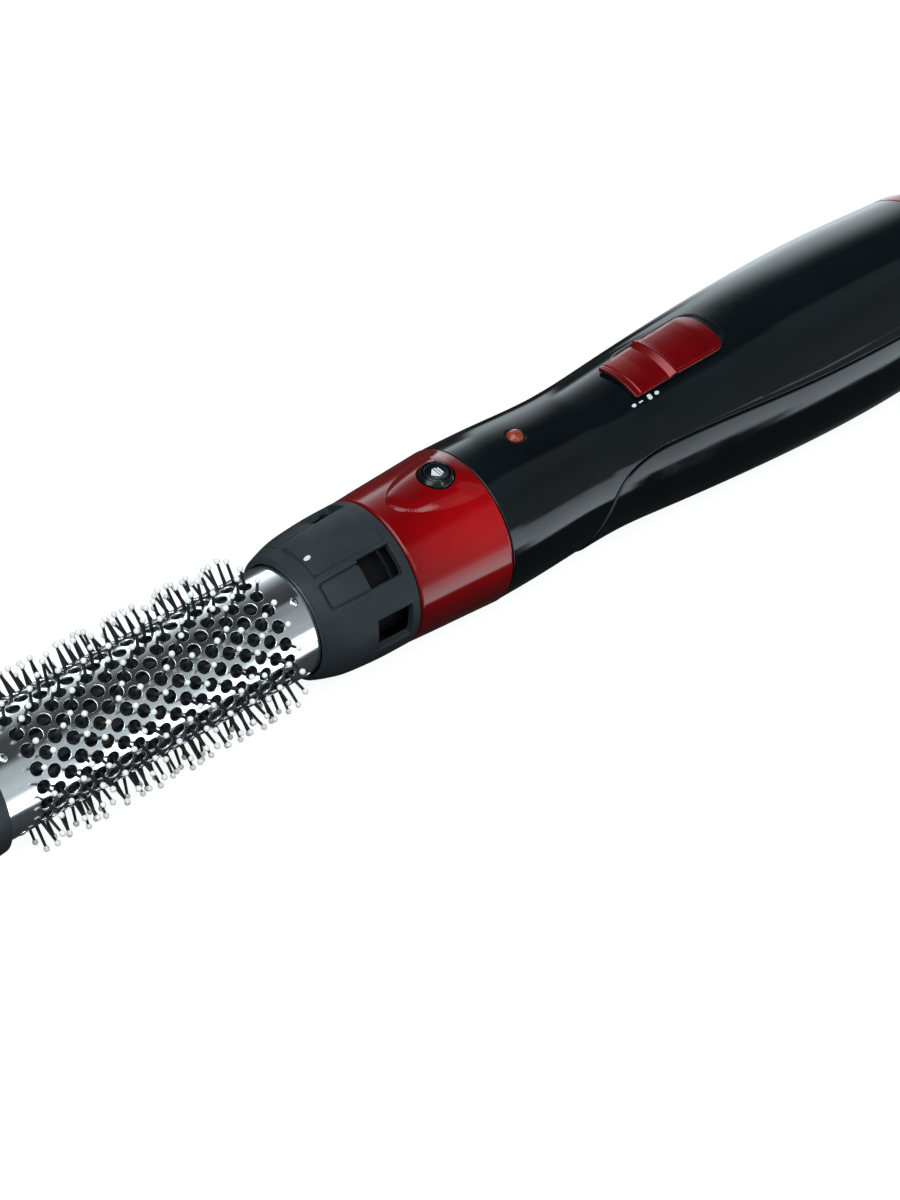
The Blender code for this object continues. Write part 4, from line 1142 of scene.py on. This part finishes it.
def along_slanted(lo, hi, points):
    """As along, with the border moved by an amount that depends on the angle about the long axis."""
    ramp = tree.nodes.new("ShaderNodeValToRGB")
    els = ramp.color_ramp.elements
    for angle, value in points[1:-1]:
        els.new((angle + 180.0) / 360.0)
    for e, (angle, value) in zip(els, points):
        e.color = (20.0 * value + 0.2,) * 3 + (1.0,)
    tree.links.new(spread_out.outputs["Result"], ramp.inputs["Fac"])
    back = tree.nodes.new("ShaderNodeMath")
    back.operation = "MULTIPLY_ADD"
    back.inputs[1].default_value = -0.05
    back.inputs[2].default_value = 0.01
    tree.links.new(ramp.outputs["Color"], back.inputs[0])
    moved = tree.nodes.new("ShaderNodeMath")
    tree.links.new(split.outputs["X"], moved.inputs[0])
    tree.links.new(back.outputs["Value"], moved.inputs[1])
    m = tree.nodes.new("ShaderNodeMapRange")
    m.interpolation_type = "SMOOTHSTEP"
    m.inputs["From Min"].default_value = lo
    m.inputs["From Max"].default_value = hi
    tree.links.new(moved.outputs["Value"], m.inputs["Value"])
    return m.outputs["Result"]


def blend(fac, first, second):
    m = tree.nodes.new("ShaderNodeMix")
    m.data_type = "RGBA"
    tree.links.new(fac, m.inputs[0])
    tree.links.new(first, m.inputs[6])
    tree.links.new(second, m.inputs[7])
    return m.outputs[2]


tree.links.new(coord.outputs["Generated"], split.inputs["Vector"])
tree.links.new(split.outputs["Y"], minus.inputs[0])
tree.links.new(minus.outputs["Value"], turn.inputs[0])
tree.links.new(split.outputs["Z"], turn.inputs[1])
tree.links.new(turn.outputs["Value"], spread_out.inputs["Value"])
lit = blend(along(-0.14, -0.04), boxes(AHEAD), boxes(ABOVE))
lit = blend(along(0.08, 0.20), lit, boxes(FAR_RING + NEAR_RING))
lit = blend(along_slanted(0.4515, 0.4575, [(-180.0, 0.04), (-60.0, 0.04), (-36.0, 0.012), (0.0, -0.006), (50.0, -0.0085), (70.0, -0.003),
                                          (81.0, -0.001), (93.0, 0.001), (105.0, 0.0045), (117.0, 0.0095), (180.0, 0.03)]),
            lit, boxes(FAR_HEAD + NEAR_HEAD))
lit = blend(along(0.505, 0.54), lit, boxes(FAR_HEAD + NEAR_NECK))
lit = blend(along(0.553, 0.568), lit, boxes(FAR_MIDDLE + NEAR_MIDDLE))
lit = blend(along(0.58, 0.64), lit, boxes(FAR_TAIL + NEAR_MIDDLE))
lit = blend(along(0.632, 0.655), lit, boxes(FAR_TAIL + NEAR_TAIL))
lit = blend(along(0.70, 0.80), lit, boxes(FAR_END + NEAR_TAIL))
studio = tree.nodes.new("ShaderNodeBackground")
studio.inputs["Strength"].default_value = TOP
tree.links.new(lit, studio.inputs["Color"])
rise = tree.nodes.new("ShaderNodeMapRange")
rise.inputs["From Min"].default_value = 0.0
rise.inputs["From Max"].default_value = 0.9
rise.inputs["To Min"].default_value = 0.012
rise.inputs["To Max"].default_value = 0.42
tree.links.new(split.outputs["Z"], rise.inputs["Value"])
fill = tree.nodes.new("ShaderNodeBackground")
tree.links.new(rise.outputs["Result"], fill.inputs["Color"])
plain = tree.nodes.new("ShaderNodeBackground")
plain.inputs["Color"].default_value = (1.0, 1.0, 1.0, 1.0)
plain.inputs["Strength"].default_value = 1.0
path = tree.nodes.new("ShaderNodeLightPath")
indirect = tree.nodes.new("ShaderNodeMixShader")
choose = tree.nodes.new("ShaderNodeMixShader")
out = tree.nodes.new("ShaderNodeOutputWorld")
tree.links.new(path.outputs["Is Diffuse Ray"], indirect.inputs["Fac"])
tree.links.new(studio.outputs["Background"], indirect.inputs[1])
tree.links.new(fill.outputs["Background"], indirect.inputs[2])
tree.links.new(path.outputs["Is Camera Ray"], choose.inputs["Fac"])
tree.links.new(indirect.outputs["Shader"], choose.inputs[1])
tree.links.new(plain.outputs["Background"], choose.inputs[2])
tree.links.new(choose.outputs["Shader"], out.inputs["Surface"])


def soft_box(name, place, target, size, power):
    light = bpy.data.lights.new(name, "AREA")
    light.shape = "DISK"
    light.size = size
    light.energy = power
    ob = bpy.data.objects.new(name, light)
    ob.location = place
    ob.rotation_euler = (Vector(target) - Vector(place)).to_track_quat("-Z", "Y").to_euler()
    ob.visible_glossy = False
    ob.visible_camera = False
    scene.collection.objects.link(ob)
    return ob


key_box = soft_box("key_box", (-0.30, -0.75, 1.0), (0.03, 0.0, 0.02), 0.7, 5.5)
# a small lamp close to the front ring lights its paint from the camera's side
lamp_at = row([50.0, -44.0 * math.sin(math.radians(46.0)), 44.0 * math.cos(math.radians(46.0))])
paint_lamp = soft_box("paint_lamp", tuple(lamp_at), tuple(row([50.0, 0.0, 0.0])), 0.026, 0.0120)
paint_lamp.data.shape = "RECTANGLE"
paint_lamp.data.size_y = 0.010
lit_only = bpy.data.collections.new("painted_ring")
lit_only.objects.link(bpy.data.objects["front_ring_skin"])
paint_lamp.light_linking.receiver_collection = lit_only
unlit = bpy.data.collections.new("outside_key")
unlit.objects.link(bpy.data.objects["front_ring_skin"])
unlit.collection_objects[0].light_linking.link_state = "EXCLUDE"
key_box.light_linking.receiver_collection = unlit

camera = bpy.data.cameras.new("camera")
camera.sensor_width = 36.0
camera.lens = 75.0
camera.clip_start, camera.clip_end = 0.02, 60.0
cam = bpy.data.objects.new("camera", camera)
right = Vector((0.74767, -0.65895, 0.08236))
ahead = Vector((0.51602, 0.49842, -0.69664))
right.normalize()
ahead = (ahead - right * ahead.dot(right)).normalized()
up = right.cross(ahead)
cam.matrix_world = Matrix(((right.x, up.x, -ahead.x, -0.36881), (right.y, up.y, -ahead.y, -0.33476),
                           (right.z, up.z, -ahead.z, 0.46660), (0.0, 0.0, 0.0, 1.0)))
scene.collection.objects.link(cam)
scene.camera = cam
scene.view_settings.view_transform = "Standard"
